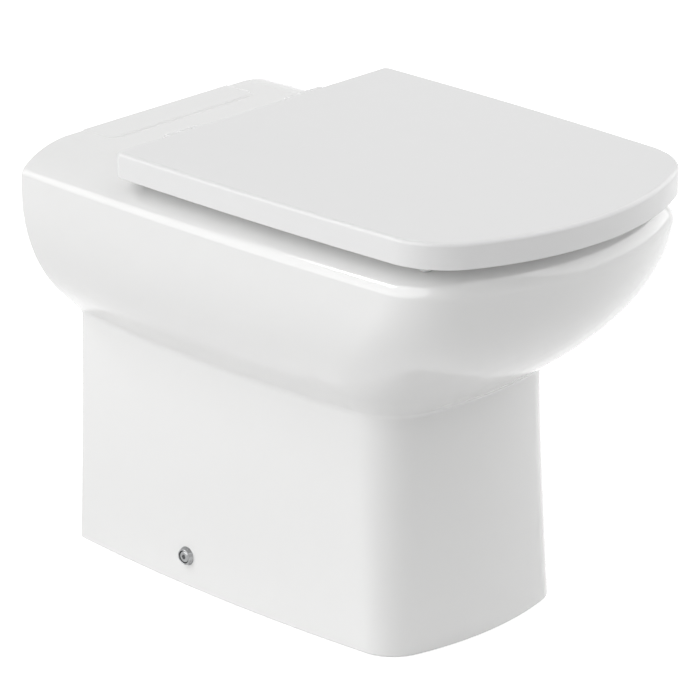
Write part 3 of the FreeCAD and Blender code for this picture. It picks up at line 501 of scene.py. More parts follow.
def carve(piece, *steps):
    """Cuts or joins other solids, each given with its operation, and removes them."""
    for operation, tool in steps:
        modifier = piece.modifiers.new("carve", "BOOLEAN")
        modifier.operation = operation
        modifier.solver = "MANIFOLD"
        modifier.object = tool
    set_plain_mesh(piece)
    for _, tool in steps:
        remove_piece(tool)


def set_plain_mesh(piece):
    """Turns the result of a piece's modifiers into its mesh."""
    piece.update_tag()
    seen = piece.evaluated_get(bpy.context.evaluated_depsgraph_get())
    mesh = bpy.data.meshes.new_from_object(seen)
    if len(mesh.polygons) == 0:
        raise RuntimeError(f"{piece.name} came out empty")
    piece.modifiers.clear()
    old = piece.data
    piece.data = mesh
    bpy.data.meshes.remove(old)
    mesh.name = piece.name


def join_pieces(piece, other):
    """Adds another piece's mesh to a piece and removes the other."""
    with bpy.context.temp_override(active_object=piece, selected_editable_objects=[piece, other]):
        bpy.ops.object.join()


def finish_piece(piece, body, slot, nodes, sharp=SHARP):
    """Shades a piece, gives it the material of its slot and ties it to the frame."""
    mesh = piece.data
    mesh.shade_smooth()
    mesh.set_sharp_from_angle(angle=math.radians(sharp))
    mesh.materials.clear()
    mesh.materials.append(finish_for(slot))
    normals = piece.modifiers.new("even_normals", "WEIGHTED_NORMAL")
    normals.keep_sharp = True
    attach(piece, body)
    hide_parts(*nodes)


def finish_pair(piece, body, slot, node, sharp=SHARP):
    """Adds the left-hand twin of a right-hand piece, and finishes both as one."""
    run_tree(piece, "mirrored_pair", {"Middle": 0.0}, slot)
    finish_piece(piece, body, slot, [f"{side}_{node}" for side in SIDES], sharp)


# Node trees that repeat or follow a rule


def add_node(tree, kind, **inputs):
    """A node with each named input set to a value or linked to a socket."""
    node = tree.nodes.new(kind)
    for label, value in inputs.items():
        socket = node.inputs[label.replace("_", " ")]
        if isinstance(value, bpy.types.NodeSocket):
            tree.links.new(value, socket)
        else:
            socket.default_value = value
    return node


def math_node(tree, operation, *values):
    """A math node with each input set to a number or linked to a socket."""
    node = tree.nodes.new("ShaderNodeMath")
    node.operation = operation
    for socket, value in zip(node.inputs, values):
        if isinstance(value, (int, float)):
            socket.default_value = value
        else:
            tree.links.new(value, socket)
    return node.outputs[0]


def new_tree(name, sizes):
    """A geometry tree that takes a geometry, the named sizes and a finish, with the sockets that give them."""
    kinds = {int: "NodeSocketInt", float: "NodeSocketFloat"}
    tree = bpy.data.node_groups.new(name, "GeometryNodeTree")
    tree.interface.new_socket("Geometry", in_out="INPUT", socket_type="NodeSocketGeometry")
    for label, default in sizes.items():
        socket = tree.interface.new_socket(label, in_out="INPUT", socket_type=kinds[type(default)])
        socket.default_value = default
    tree.interface.new_socket("Finish", in_out="INPUT", socket_type="NodeSocketMaterial")
    tree.interface.new_socket("Geometry", in_out="OUTPUT", socket_type="NodeSocketGeometry")
    return tree, tree.nodes.new("NodeGroupInput").outputs


def joined(tree, *parts):
    join = add_node(tree, "GeometryNodeJoinGeometry")
    for part in parts:
        tree.links.new(part, join.inputs["Geometry"])
    return join.outputs["Geometry"]


def close_tree(tree, given, geometry):
    """Ends a tree with real geometry that carries the finish."""
    real = add_node(tree, "GeometryNodeRealizeInstances", Geometry=geometry).outputs["Geometry"]
    finish = add_node(tree, "GeometryNodeSetMaterial", Geometry=real, Material=given["Finish"])
    add_node(tree, "NodeGroupOutput", Geometry=finish.outputs["Geometry"])
    return tree


def mirrored_pair_tree(name):
    """The piece on the right and its mirror image on the left."""
    tree, given = new_tree(name, {"Middle": 0.0})
    shift = add_node(tree, "ShaderNodeCombineXYZ", X=math_node(tree, "MULTIPLY", given["Middle"], 2.0))
    mirror = add_node(
        tree, "GeometryNodeTransform",
        Geometry=given["Geometry"], Translation=shift.outputs["Vector"], Scale=(-1.0, 1.0, 1.0),
    )
    flip = add_node(tree, "GeometryNodeFlipFaces", Mesh=mirror.outputs["Geometry"])
    return close_tree(tree, given, joined(tree, given["Geometry"], flip.outputs["Mesh"]))


def four_feet_tree(name):
    """The piece at four places: two at the front and two further back, alike on both sides."""
    places = ("Front across", "Front along", "Rear across", "Rear along", "Height")
    tree, given = new_tree(name, dict.fromkeys(places, 0.0))
    index = add_node(tree, "GeometryNodeInputIndex").outputs[0]
    side = math_node(tree, "MULTIPLY_ADD", math_node(tree, "MODULO", index, 2.0), 2.0, -1.0)
    at_rear = math_node(tree, "GREATER_THAN", index, 1.5)
    where = []
    for way in ("across", "along"):
        pick = add_node(tree, "ShaderNodeMix", Factor=at_rear, A=given[f"Front {way}"], B=given[f"Rear {way}"])
        where.append(pick.outputs["Result"])
    across = math_node(tree, "MULTIPLY", where[0], side)
    place = add_node(tree, "ShaderNodeCombineXYZ", X=across, Y=where[1], Z=given["Height"])
    points = add_node(tree, "GeometryNodePoints", Count=len(CORNERS), Position=place.outputs["Vector"])
    spread = add_node(
        tree, "GeometryNodeInstanceOnPoints", Points=points.outputs[0], Instance=given["Geometry"]
    )
    return close_tree(tree, given, spread.outputs["Instances"])


def wound_thread_tree(name):
    """A helical ridge wound round the piece along Z."""
    tree, given = new_tree(name, dict.fromkeys(("Radius", "Bottom", "Length", "Turns", "Ridge"), 0.0))
    spiral = add_node(
        tree, "GeometryNodeCurveSpiral", Resolution=28, Rotations=given["Turns"], Height=given["Length"],
        Start_Radius=given["Radius"], End_Radius=given["Radius"],
    )
    lift = add_node(tree, "ShaderNodeCombineXYZ", Z=given["Bottom"])
    move = add_node(
        tree, "GeometryNodeTransform", Geometry=spiral.outputs["Curve"], Translation=lift.outputs["Vector"]
    )
    ridge = add_node(tree, "GeometryNodeCurvePrimitiveCircle", Resolution=4, Radius=given["Ridge"])
    sweep = add_node(
        tree, "GeometryNodeCurveToMesh",
        Curve=move.outputs["Geometry"], Profile_Curve=ridge.outputs["Curve"], Fill_Caps=True,
    )
    return close_tree(tree, given, joined(tree, given["Geometry"], sweep.outputs["Mesh"]))


def ringed_beads_tree(name):
    """Round beads in rings on a face that looks along +Y, evenly spaced from the middle outwards."""
    places = ("Inner radius", "Spacing", "Bead radius", "Along", "Height")
    tree, given = new_tree(name, {"Count": 3, **dict.fromkeys(places, 0.0)})
    index = add_node(tree, "GeometryNodeInputIndex").outputs[0]
    reach = math_node(tree, "MULTIPLY_ADD", index, given["Spacing"], given["Inner radius"])
    place = add_node(tree, "ShaderNodeCombineXYZ", Y=given["Along"], Z=given["Height"])
    points = add_node(tree, "GeometryNodePoints", Count=given["Count"], Position=place.outputs["Vector"])
    circle = add_node(tree, "GeometryNodeCurvePrimitiveCircle", Resolution=96, Radius=1.0)
    spread = add_node(
        tree, "GeometryNodeInstanceOnPoints", Points=points.outputs[0], Instance=circle.outputs["Curve"],
        Rotation=(math.radians(90), 0.0, 0.0), Scale=reach,
    )
    real = add_node(tree, "GeometryNodeRealizeInstances", Geometry=spread.outputs["Instances"])
    bead = add_node(tree, "GeometryNodeCurvePrimitiveCircle", Resolution=10, Radius=given["Bead radius"])
    sweep = add_node(
        tree, "GeometryNodeCurveToMesh", Curve=real.outputs["Geometry"], Profile_Curve=bead.outputs["Curve"]
    )
    return close_tree(tree, given, joined(tree, given["Geometry"], sweep.outputs["Mesh"]))


TREES = {
    "mirrored_pair": mirrored_pair_tree,
    "four_feet": four_feet_tree,
    "wound_thread": wound_thread_tree,
    "ringed_beads": ringed_beads_tree,
}


def run_tree(piece, name, values, slot):
    """Runs a tree on a piece with its inputs set, and keeps the result as the piece's mesh."""
    tree = bpy.data.node_groups.get(name) or TREES[name](name)
    modifier = piece.modifiers.new(name, "NODES")
    modifier.node_group = tree
    settings = dict(values, Finish=finish_for(slot))
    for item in tree.interface.items_tree:
        if item.in_out == "INPUT" and item.name in settings:
            modifier[item.identifier] = settings[item.name]
    set_plain_mesh(piece)


# Materials


class Finish:
    """A node material that is built up from noise on object coordinates."""

    # The part of the noise's range that it mostly stays in
    NOISE_LOW = 0.3
    NOISE_HIGH = 0.7

    def __init__(self, name, base, roughness, **constants):
        self.material = bpy.data.materials.new(name)
        self.material.use_nodes = True
        self.tree = self.material.node_tree
        self.shader = self.tree.nodes["Principled BSDF"]
        self.base = base
        self.coordinates = add_node(self.tree, "ShaderNodeTexCoord").outputs["Object"]
        self.shader.inputs["Roughness"].default_value = roughness
        for socket, value in constants.items():
            self.shader.inputs[socket.replace("_", " ")].default_value = value

    def noise(self, scale, detail=3.0, stretch=(1.0, 1.0, 1.0)):
        mapping = add_node(self.tree, "ShaderNodeMapping", Vector=self.coordinates, Scale=stretch)
        place = mapping.outputs["Vector"]
        return add_node(self.tree, "ShaderNodeTexNoise", Vector=place, Scale=scale, Detail=detail).outputs[0]

    def cells(self, scale):
        pattern = add_node(self.tree, "ShaderNodeTexVoronoi", Vector=self.coordinates, Scale=scale)
        return add_node(self.tree, "ShaderNodeSeparateColor", Color=pattern.outputs["Color"]).outputs[0]

    def colour_from(self, pattern, spread):
        """Lets the base colour wander a little to both sides."""
        blend = self.tree.nodes.new("ShaderNodeMix")
        blend.data_type = "RGBA"
        dark, light = [socket for socket in blend.inputs if socket.type == "RGBA"]
        dark.default_value = (*[part * (1 - spread) for part in self.base], 1)
        light.default_value = (*[min(part * (1 + spread), 1.0) for part in self.base], 1)
        self.tree.links.new(pattern, blend.inputs["Factor"])
        result = next(socket for socket in blend.outputs if socket.type == "RGBA")
        self.tree.links.new(result, self.shader.inputs["Base Color"])

    def roughness_from(self, pattern, low, high):
        ramp = add_node(
            self.tree, "ShaderNodeMapRange", Value=pattern,
            From_Min=self.NOISE_LOW, From_Max=self.NOISE_HIGH, To_Min=low, To_Max=high,
        )
        self.tree.links.new(ramp.outputs["Result"], self.shader.inputs["Roughness"])

    def bump_from(self, pattern, strength, height):
        bump = add_node(self.tree, "ShaderNodeBump", Height=pattern, Strength=strength, Distance=height)
        self.tree.links.new(bump.outputs["Normal"], self.shader.inputs["Normal"])


def china_glaze(colours):
    """White glaze: nearly even colour, a wet gloss and the faint waves of a fired surface."""
    glaze = Finish("china_glaze", colours.china, 0.1, IOR=1.52, Coat_Weight=0.25, Coat_Roughness=0.04)
    glaze.colour_from(glaze.noise(5.0, 4.0), 0.012)
    glaze.roughness_from(glaze.noise(38.0), 0.07, 0.14)
    glaze.bump_from(glaze.noise(60.0, 1.0), 0.05, 0.0006)
    return glaze.material


def gloss_moulding(name, base):
    """Thick white moulding with a polished skin and faint flow marks."""
    plastic = Finish(name, base, 0.2, IOR=1.49)
    plastic.colour_from(plastic.noise(9.0, 3.0, (1.0, 0.35, 1.0)), 0.010)
    plastic.roughness_from(plastic.noise(55.0), 0.19, 0.22)
    plastic.bump_from(plastic.noise(420.0, 2.0), 0.05, 0.0002)
    return plastic.material


def lid_moulding(colours):
    return gloss_moulding("lid_moulding", colours.lid)


def seat_moulding(colours):
    return gloss_moulding("seat_moulding", colours.seat)


def soft_feet(colours):
    """Soft satin plastic that lets a little light in."""
    soft = Finish("soft_feet", colours.buffers, 0.5, Subsurface_Weight=0.08, Subsurface_Scale=0.003)
    soft.colour_from(soft.noise(140.0), 0.03)
    soft.roughness_from(soft.noise(260.0), 0.42, 0.58)
    soft.bump_from(soft.noise(900.0, 2.0), 0.1, 0.0001)
    return soft.material


def chrome_plate(colours):
    """Polished plating with fine wiping marks."""
    chrome = Finish("chrome_plate", colours.chrome, 0.1, Metallic=1.0)
    chrome.colour_from(chrome.noise(80.0), 0.04)
    chrome.roughness_from(chrome.noise(700.0, 4.0, (1.0, 1.0, 0.12)), 0.06, 0.2)
    chrome.bump_from(chrome.noise(1600.0, 3.0, (0.2, 1.0, 1.0)), 0.04, 0.00005)
    return chrome.material


def zinc_steel(colours):
    """Zinc plating with small crystals and a drawn grain."""
    steel = Finish("zinc_steel", colours.steel, 0.35, Metallic=1.0)
    steel.colour_from(steel.cells(420.0), 0.12)
    steel.roughness_from(steel.noise(300.0, 4.0), 0.26, 0.46)
    steel.bump_from(steel.noise(1200.0, 3.0, (1.0, 0.15, 1.0)), 0.12, 0.0001)
    return steel.material


def natural_nylon(colours):
    nylon = Finish("natural_nylon", colours.nylon, 0.5, Subsurface_Weight=0.1, Subsurface_Scale=0.002)
    nylon.colour_from(nylon.noise(180.0), 0.04)
    nylon.roughness_from(nylon.noise(350.0), 0.42, 0.6)
    nylon.bump_from(nylon.noise(1100.0), 0.08, 0.0001)
    return nylon.material


def black_rubber(colours):
    rubber = Finish("black_rubber", colours.rubber, 0.7, IOR=1.45)
    rubber.colour_from(rubber.noise(120.0, 5.0), 0.25)
    rubber.roughness_from(rubber.noise(240.0), 0.58, 0.82)
    rubber.bump_from(rubber.noise(800.0, 4.0), 0.25, 0.0002)
    return rubber.material


FINISHES = {
    "china": china_glaze,
    "lid_plastic": lid_moulding,
    "seat_plastic": seat_moulding,
    "buffer_plastic": soft_feet,
    "chrome": chrome_plate,
    "steel": zinc_steel,
    "nylon": natural_nylon,
    "rubber": black_rubber,
}


def finish_for(slot):
    """The material of a slot, made when first asked for."""
    make = FINISHES[slot]
    return bpy.data.materials.get(make.__name__) or make(bpy.context.scene.toilet_finishes)


# Pan


def underside_top(pan):
    return pan.rim_height - pan.shoulder_drop - pan.flank_height


def underside_run(pan, z):
    """How far the side has curved in at a height, and how much wider a level cut through its wall is."""
    radius = pan.underside_radius
    drop = max(underside_top(pan) - z, 0.0)
    knee = radius * math.sin(UNDERSIDE_SLOPE)
    if drop > knee:
        run = radius * (1 - math.cos(UNDERSIDE_SLOPE)) + (drop - knee) * math.tan(UNDERSIDE_SLOPE)
        return run, 1 / math.cos(UNDERSIDE_SLOPE)
    rise = math.sqrt(radius**2 - drop**2)
    return radius - rise, radius / rise


def front_run(pan, z):
    """The share of the front's curve at a height, and how much wider a level cut through its wall is."""
    top = pan.rim_height - pan.front_edge_drop
    depth = top - pan.crease_height
    share = max(top - z, 0.0) / depth
    slope = 2 * share * (pan.projection - pan.crease_projection) / depth
    return share**2, math.hypot(1, slope)


def upper_section(pan, z, inset=0.0, wall=0.0, rear=0.0):
    """Outline of the upper body at a height, drawn in by the shoulder's inset and by a wall."""
    run, side_cut = underside_run(pan, z)
    side = run / underside_run(pan, pan.crease_height)[0]
    front, front_cut = front_run(pan, z)
    narrow = inset + wall * side_cut
    short = inset * pan.front_shoulder / pan.shoulder_width + wall * front_cut
    bow = 1 / mix(1 / pan.bow_radius, 1 / pan.crease_bow_radius, side)
    corner = mix(pan.corner_radius, pan.crease_corner_radius, (side + front) / 2)
    corner += pan.corner_swell * 4 * front * (1 - front)
    corner *= 1 - SHOULDER_CORNER_SHARE * inset / pan.shoulder_width
    return outline(
        mix(pan.width, pan.crease_width, side) / 2 - narrow,
        bow - narrow,
        mix(pan.projection, pan.crease_projection, front) - short,
        mix(pan.front_radius, pan.crease_front_radius, front) - short,
        corner - wall,
        rear,
        pan.edge_round,
        PAN_COUNTS,
    )


def pedestal_section(pan, z, wall=0.0, rear=0.0):
    share = max(1 - z / pan.crease_height, 0.0) ** FLARE_POWER
    return outline(
        mix(pan.crease_width, pan.foot_width, share) / 2 - wall,
        mix(pan.crease_bow_radius, pan.foot_bow_radius, share) - wall,
        mix(pan.crease_projection, pan.foot_projection, share) - wall,
        mix(pan.crease_front_radius, pan.foot_front_radius, share) - wall,
        mix(pan.crease_corner_radius, pan.foot_corner_radius, share) - wall,
        rear,
        pan.edge_round,
        PAN_COUNTS,
    )


def body_section(pan, z):
    return pedestal_section(pan, z) if z < pan.crease_height else upper_section(pan, z)


def soft_section(pan, z):
    """The body's outline with its crease rounded, by averaging the outlines just above and below."""
    soft = CREASE_REACH * pan.crease_softness
    reach = pan.crease_softness * max(1 - abs(z - pan.crease_height) / soft, 0.0)
    if reach == 0.0:
        return body_section(pan, z)
    shares = np.linspace(-1, 1, 9)
    weights = 1 - shares**2 * CREASE_FADE
    rings = [body_section(pan, z + reach * share) for share in shares]
    return np.average(rings, axis=0, weights=weights)


def shoulder_levels(pan, steps):
    """Heights over the shoulder, with its inset and its share of the deck."""
    levels = []
    for step in range(steps + 1):
        turn = math.pi / 2 * step / steps
        outward = math.cos(turn) ** (2 / SHOULDER_POWER) if step < steps else 0.0
        upward = math.sin(turn) ** (2 / SHOULDER_POWER)
        z = pan.rim_height - pan.shoulder_drop * (1 - upward)
        levels.append((z, pan.shoulder_width * (1 - outward), upward))
    return levels


def pan_outside(pan):
    """The outside of the casting as one solid, from its rounded foot to the deck."""
    rings = []
    for turn in np.radians((0, 30, 60)):
        inset = pan.edge_round * (1 - math.sin(turn))
        z = pan.edge_round * (1 - math.cos(turn))
        rings.append(level(pedestal_section(pan, z, inset), z))
    soft = CREASE_REACH * pan.crease_softness
    heights = [*np.linspace(pan.edge_round, pan.crease_height - soft, 26)]
    heights += [*np.linspace(pan.crease_height - soft, pan.crease_height + soft, 18)[1:]]
    heights += [*np.linspace(pan.crease_height + soft, underside_top(pan), 34)[1:]]
    heights += [*np.linspace(underside_top(pan), pan.rim_height - pan.shoulder_drop, 6)[1:]]
    rings += [level(soft_section(pan, z), z) for z in heights]
    for z, inset, _ in shoulder_levels(pan, 22)[1:]:
        rings.append(level(upper_section(pan, z, inset), z))
    return ring_solid("china_pan", rings)


def hollow_parts(pan):
    """The space inside the casting's walls: the pedestal's, and the upper body's."""
    past = -OVERRUN
    wall = pan.china_wall
    low = []
    for share in np.linspace(0, 1, 14):
        section = pedestal_section(pan, pan.crease_height * share, wall, past)
        low.append(level(section, mix(past, pan.crease_height + wall, share)))
    heights = np.linspace(pan.crease_height, underside_top(pan), 20)
    high = [level(upper_section(pan, z, 0.0, wall, past), z) for z in heights]
    for z, inset, share in shoulder_levels(pan, 12):
        section = upper_section(pan, z, inset, wall, past)
        high.append(level(section, z - pan.deck_thickness * share))
    return ring_solid("pedestal_space", low), ring_solid("upper_space", high)


def bowl_section(pan, water, rise, wall, z):
    throat = (water.trap_bore + wall) * THROAT_SHARE
    rim_width = water.rim_width - wall
    run = underside_run(pan, z)[0] / underside_run(pan, pan.crease_height)[0]
    outer_half = mix(pan.width, pan.crease_width, min(run, 1.0)) / 2
    outer_front = mix(pan.projection, pan.crease_projection, min(front_run(pan, z)[0], 1.0))
    half = mix(throat, outer_half - rim_width, rise**BOWL_SIDE_POWER)
    front = mix(water.sump_from_wall + throat, outer_front - rim_width, rise**BOWL_FRONT_POWER)
    rear = mix(water.sump_from_wall - throat, water.bowl_from_wall - wall, rise**BOWL_REAR_POWER)
    return oval(half, rear, front, 2 + BOWL_SQUARENESS * rise, BOWL_COUNT)


def bowl_rings(pan, water, wall):
    low = water.trap_height + water.trap_bend - wall
    high = pan.rim_height - water.bowl_edge
    rings = []
    for rise in np.linspace(0, 1, 40) ** BOWL_SPACING_POWER:
        z = mix(low, high, rise)
        rings.append(level(bowl_section(pan, water, rise, wall, z), z))
    return rings


def bowl_space(pan, water):
    """The inside of the bowl with its rounded mouth."""
    rings = bowl_rings(pan, water, 0.0)
    half = pan.width / 2 - water.rim_width
    front = pan.projection - water.rim_width
    edge = water.bowl_edge
    power = 2 + BOWL_SQUARENESS
    for turn in np.radians(np.linspace(0, 90, 11)[1:]):
        out = edge * (1 - math.cos(turn))
        z = pan.rim_height - edge + (edge + FACE_LIFT) * math.sin(turn)
        mouth = oval(half + out, water.bowl_from_wall - out, front + out, power, BOWL_COUNT)
        rings.append(level(mouth, z))
    top = oval(half + edge, water.bowl_from_wall - edge, front + edge, power, BOWL_COUNT)
    rings.append(level(top, pan.rim_height + OVERRUN))
    return ring_solid("bowl_space", rings)


def trap_line(water, end_from_wall):
    """Middle line of the trap in (distance from the wall, height)."""
    bend = water.trap_bend
    low = water.trap_height
    climb = water.trap_climb
    slope = math.degrees(climb)
    dip = (water.sump_from_wall - bend, low + bend)
    run = (water.outlet_height - low - 2 * bend * (1 - math.cos(climb))) / math.tan(climb)
    weir = (dip[0] - 2 * bend * math.sin(climb) - run, water.outlet_height - bend)
    line = [(water.sump_from_wall, low + 2 * bend)]
    line += bend_points(dip, bend, 0, -90 - slope, 20)
    line += bend_points(weir, bend, 90 - slope, 90, 20)
    line.append((end_from_wall, water.outlet_height))
    return np.array(line)


def trap_solid(name, water, radius, end_from_wall):
    line = trap_line(water, end_from_wall)
    along = np.gradient(line, axis=0)
    along /= np.linalg.norm(along, axis=1)[:, None]
    along[0] = (0.0, -1.0)
    along[-1] = (-1.0, 0.0)
    turns = 2 * math.pi * np.arange(64) / 64
    rings = []
    for (distance, z), (run, rise) in zip(line, along):
        up = np.array([-rise, run])
        x = -radius * np.sin(turns)
        off = radius * np.cos(turns)
        rings.append(np.column_stack([x, WALL_Y - (distance + off * up[0]), z + off * up[1]]))
    return ring_solid(name, rings)


def flush_bar(name, water, radius, past):
    """A round bar from the mouth of the flush inlet into the bowl's back."""
    mouth = WALL_Y - water.inlet_from_wall
    end = WALL_Y - water.bowl_from_wall - past
    return round_bar(name, radius, end, mouth, "Y", (0, 0, water.inlet_height))


def deck_step(pan):
    """The low raised step across the back of the deck, with a softly ramped edge."""
    half = pan.step_width / 2
    ramp = STEP_RAMP * pan.step_height
    turns = np.radians(np.linspace(0, 90, 10))
    rings = []
    for share in (-1.0, *np.linspace(0, 1, 9)):
        inset = ramp * max(share, 0.0)
        rise = pan.step_height * (1 - math.cos(math.pi * share)) / 2 if share >= 0 else -OVERRUN
        corner = pan.step_corner - inset
        reach = half - pan.step_corner
        centre_at = pan.step_depth - pan.step_corner
        left = np.column_stack([-reach - corner * np.cos(turns), centre_at + corner * np.sin(turns)])
        right = left[::-1] * np.array([-1.0, 1.0])
        back = np.array([[half - inset, 0.0], [-half + inset, 0.0]])
        rings.append(level(np.concatenate([left, right, back]), pan.rim_height + rise))
    return ring_solid("deck_step", rings)


class OBJECT_OT_toilet_pan(bpy.types.Operator):
    """Casts the pan: pedestal, rim, bowl, trap and flush horn in one glazed piece"""

    bl_idname = "object.toilet_pan"
    bl_label = "China pan"

    def execute(self, context):
        pan = context.scene.toilet_pan
        water = context.scene.toilet_water
        hinges = context.scene.toilet_hinges
        fixings = context.scene.toilet_fixings
        wall = pan.china_wall
        piece = pan_outside(pan)
        pedestal_space, upper_space = hollow_parts(pan)
        jacket = ring_solid("bowl_jacket", bowl_rings(pan, water, wall))
        trap_outside = trap_solid("trap_outside", water, water.trap_bore + wall, water.outlet_from_wall)
        horn = flush_bar("flush_horn_outside", water, water.inlet_bore + wall, 0.0)
        screw_line = (0, WALL_Y - fixings.from_wall, fixings.height)
        cuts = [
            bowl_space(pan, water),
            trap_solid("waterway", water, water.trap_bore, -OVERRUN),
            flush_bar("flush_jet", water, water.inlet_bore, JET_REACH * wall),
            round_bar("side_screw_holes", fixings.hole_radius, -pan.width, pan.width, "X", screw_line),
        ]
        top = pan.rim_height + OVERRUN
        for side in (-1, 1):
            foot = (side * hinges.spacing / 2, WALL_Y - hinges.from_wall, 0)
            cuts.append(round_bar("hinge_hole", hinges.sleeve_radius, hinges.stud_bottom, top, "Z", foot))
        carve(
            piece,
            ("UNION", deck_step(pan)),
            ("DIFFERENCE", pedestal_space),
            ("DIFFERENCE", upper_space),
            ("UNION", jacket),
            ("UNION", trap_outside),
            ("UNION", horn),
            *[("DIFFERENCE", cut) for cut in cuts],
        )
        finish_piece(piece, "pan", "china", CASTING)
        return {"FINISHED"}


# Seat and lid


def lid_plan(seat, inset, rear, rear_corner):
    """The lid's outline in plan, drawn in by an inset, with a rear edge of its own."""
    return outline(
        seat.lid_width / 2 - inset,
        bpy.context.scene.toilet_pan.bow_radius - inset,
        seat.lid_projection - inset,
        seat.front_radius - inset,
        seat.corner_radius - inset,
        rear,
        rear_corner,
        LID_COUNTS,
    )


def lid_outside(seat, inset):
    corner = seat.rear_corner - min(inset, seat.rear_corner * LID_CORNER_SHARE)
    return lid_plan(seat, inset, seat.lid_from_wall + inset, corner)


def ring_outside(seat, inset):
    corner = seat.rear_corner - min(inset, seat.rear_corner * RING_CORNER_SHARE)
    return lid_plan(seat, seat.seat_inset + inset, seat.seat_from_wall + inset, corner)


def ring_hole(seat, inset):
    """The hole in the seat ring, drawn into the ring by an inset."""
    return outline(
        seat.hole_width / 2 + inset,
        bpy.context.scene.toilet_pan.bow_radius + inset,
        seat.lid_projection - seat.seat_inset - seat.ring_width + inset,
        seat.hole_front_radius + inset,
        seat.hole_corner + inset,
        seat.hole_from_wall - inset,
        seat.hole_corner + inset,
        LID_COUNTS,
    )


def moulded_rings(plan, seat, section):
    """Rings of a plan outline through the (inset, height) points of a section."""
    return [level(plan(seat, inset), z) for inset, z in section]


def eye_profile(hinges, root, bottom, top):
    """Side view of an arm that ends in an eye on the hinge line, in y and z."""
    axis = (WALL_Y - hinges.from_wall, hinges.height)
    profile = [(root, bottom), *bend_points(axis, hinges.eye_radius, -90, 90, 17)]
    if top < hinges.height + hinges.eye_radius - TIGHT_FIT:
        profile += bend_points(axis, hinges.eye_radius, 90, EYE_BACK, 9)[1:]
    return profile + [(root, top)]


def add_knuckles(piece, hinges, near, root, top):
    """Joins an arm with an eye to each side of a piece, and bores both for their bushes."""
    profile = eye_profile(hinges, root, hinges.height - hinges.eye_radius, top)
    right = prism("knuckle", profile, near, near + hinges.knuckle_width, KNUCKLE_EDGE)
    bore = hinges.pin_radius + TURNING_FIT + hinges.bush_wall
    line = (0, WALL_Y - hinges.from_wall, hinges.height)
    eye = round_bar("pin_bore", bore, -BORE_REACH, BORE_REACH, "X", line)
    carve(piece, ("UNION", mirrored_tool(right)), ("UNION", right), ("DIFFERENCE", eye))


def knuckle_places(hinges):
    """Near edge of the lid's and of the seat's right-hand eye."""
    half = hinges.spacing / 2
    post = hinges.post_width / 2 + hinges.side_play
    return half - post - hinges.knuckle_width, half + post


class OBJECT_OT_toilet_lid(bpy.types.Operator):
    """Moulds the lid: a shallow tray with a rounded upper edge, two arm notches and two eyes"""

    bl_idname = "object.toilet_lid"
    bl_label = "Lid"

    def execute(self, context):
        seat = context.scene.toilet_seat
        hinges = context.scene.toilet_hinges
        wall = seat.lid_wall
        lip = seat.lid_lip
        edge = seat.lid_edge
        inner = LID_INNER_EDGE
        section = rounded(inner, wall + inner, seat.lid_ceiling - inner, 90, 0, 6)
        section += rounded(lip, wall - lip, seat.seat_bottom + lip, 180, 270, 4)
        section += rounded(lip, lip, seat.seat_bottom + lip, -90, 0, 5)
        section += rounded(edge, edge, seat.lid_top - edge, 0, 90, 10)
        piece = ring_solid("lid_moulding", moulded_rings(lid_outside, seat, section))
        near, seat_near = knuckle_places(hinges)
        room = hinges.swing_clearance
        back = WALL_Y - seat.lid_from_wall
        low = (seat_near - room, back - wall - room, seat.seat_bottom - room)
        high = (seat_near + hinges.knuckle_width + room, back + room, seat.seat_top + room)
        notch = block("arm_notch", low, high)
        carve(piece, ("DIFFERENCE", mirrored_tool(notch)), ("DIFFERENCE", notch))
        add_knuckles(piece, hinges, near, back - wall / 2, hinges.height + hinges.eye_radius)
        finish_piece(piece, "lid", "lid_plastic", ["lid"], MOULDED_SHARP)
        return {"FINISHED"}


class OBJECT_OT_toilet_seat_ring(bpy.types.Operator):
    """Moulds the seat ring with its rounded edges, its arms and its eyes"""

    bl_idname = "object.toilet_seat_ring"
    bl_label = "Seat ring"

    def execute(self, context):
        seat = context.scene.toilet_seat
        hinges = context.scene.toilet_hinges
        upper = seat.seat_edge
        under = seat.seat_under_edge
        low = seat.seat_bottom + under
        top = seat.seat_top
        dish = seat.seat_dish
        section = rounded(under, under, low, -90, 0, 5) + rounded(upper, upper, top - upper, 0, 90, 9)
        rings = moulded_rings(ring_outside, seat, section)
        outer_edge = ring_outside(seat, upper)
        inner_edge = ring_hole(seat, upper)
        for share in np.linspace(0, 1, 12)[1:-1]:
            rings.append(level(mix(outer_edge, inner_edge, share), top - dish * share**2))
        section = rounded(upper, upper, top - dish - upper, 90, 0, 9) + rounded(under, under, low, 0, -90, 5)
        rings += moulded_rings(ring_hole, seat, section)
        piece = ring_solid("seat_moulding", rings, closed=True)
        root = WALL_Y - seat.seat_from_wall - 2 * upper
        add_knuckles(piece, hinges, knuckle_places(hinges)[1], root, top)
        finish_piece(piece, "seat", "seat_plastic", ["seat_ring"], MOULDED_SHARP)
        return {"FINISHED"}


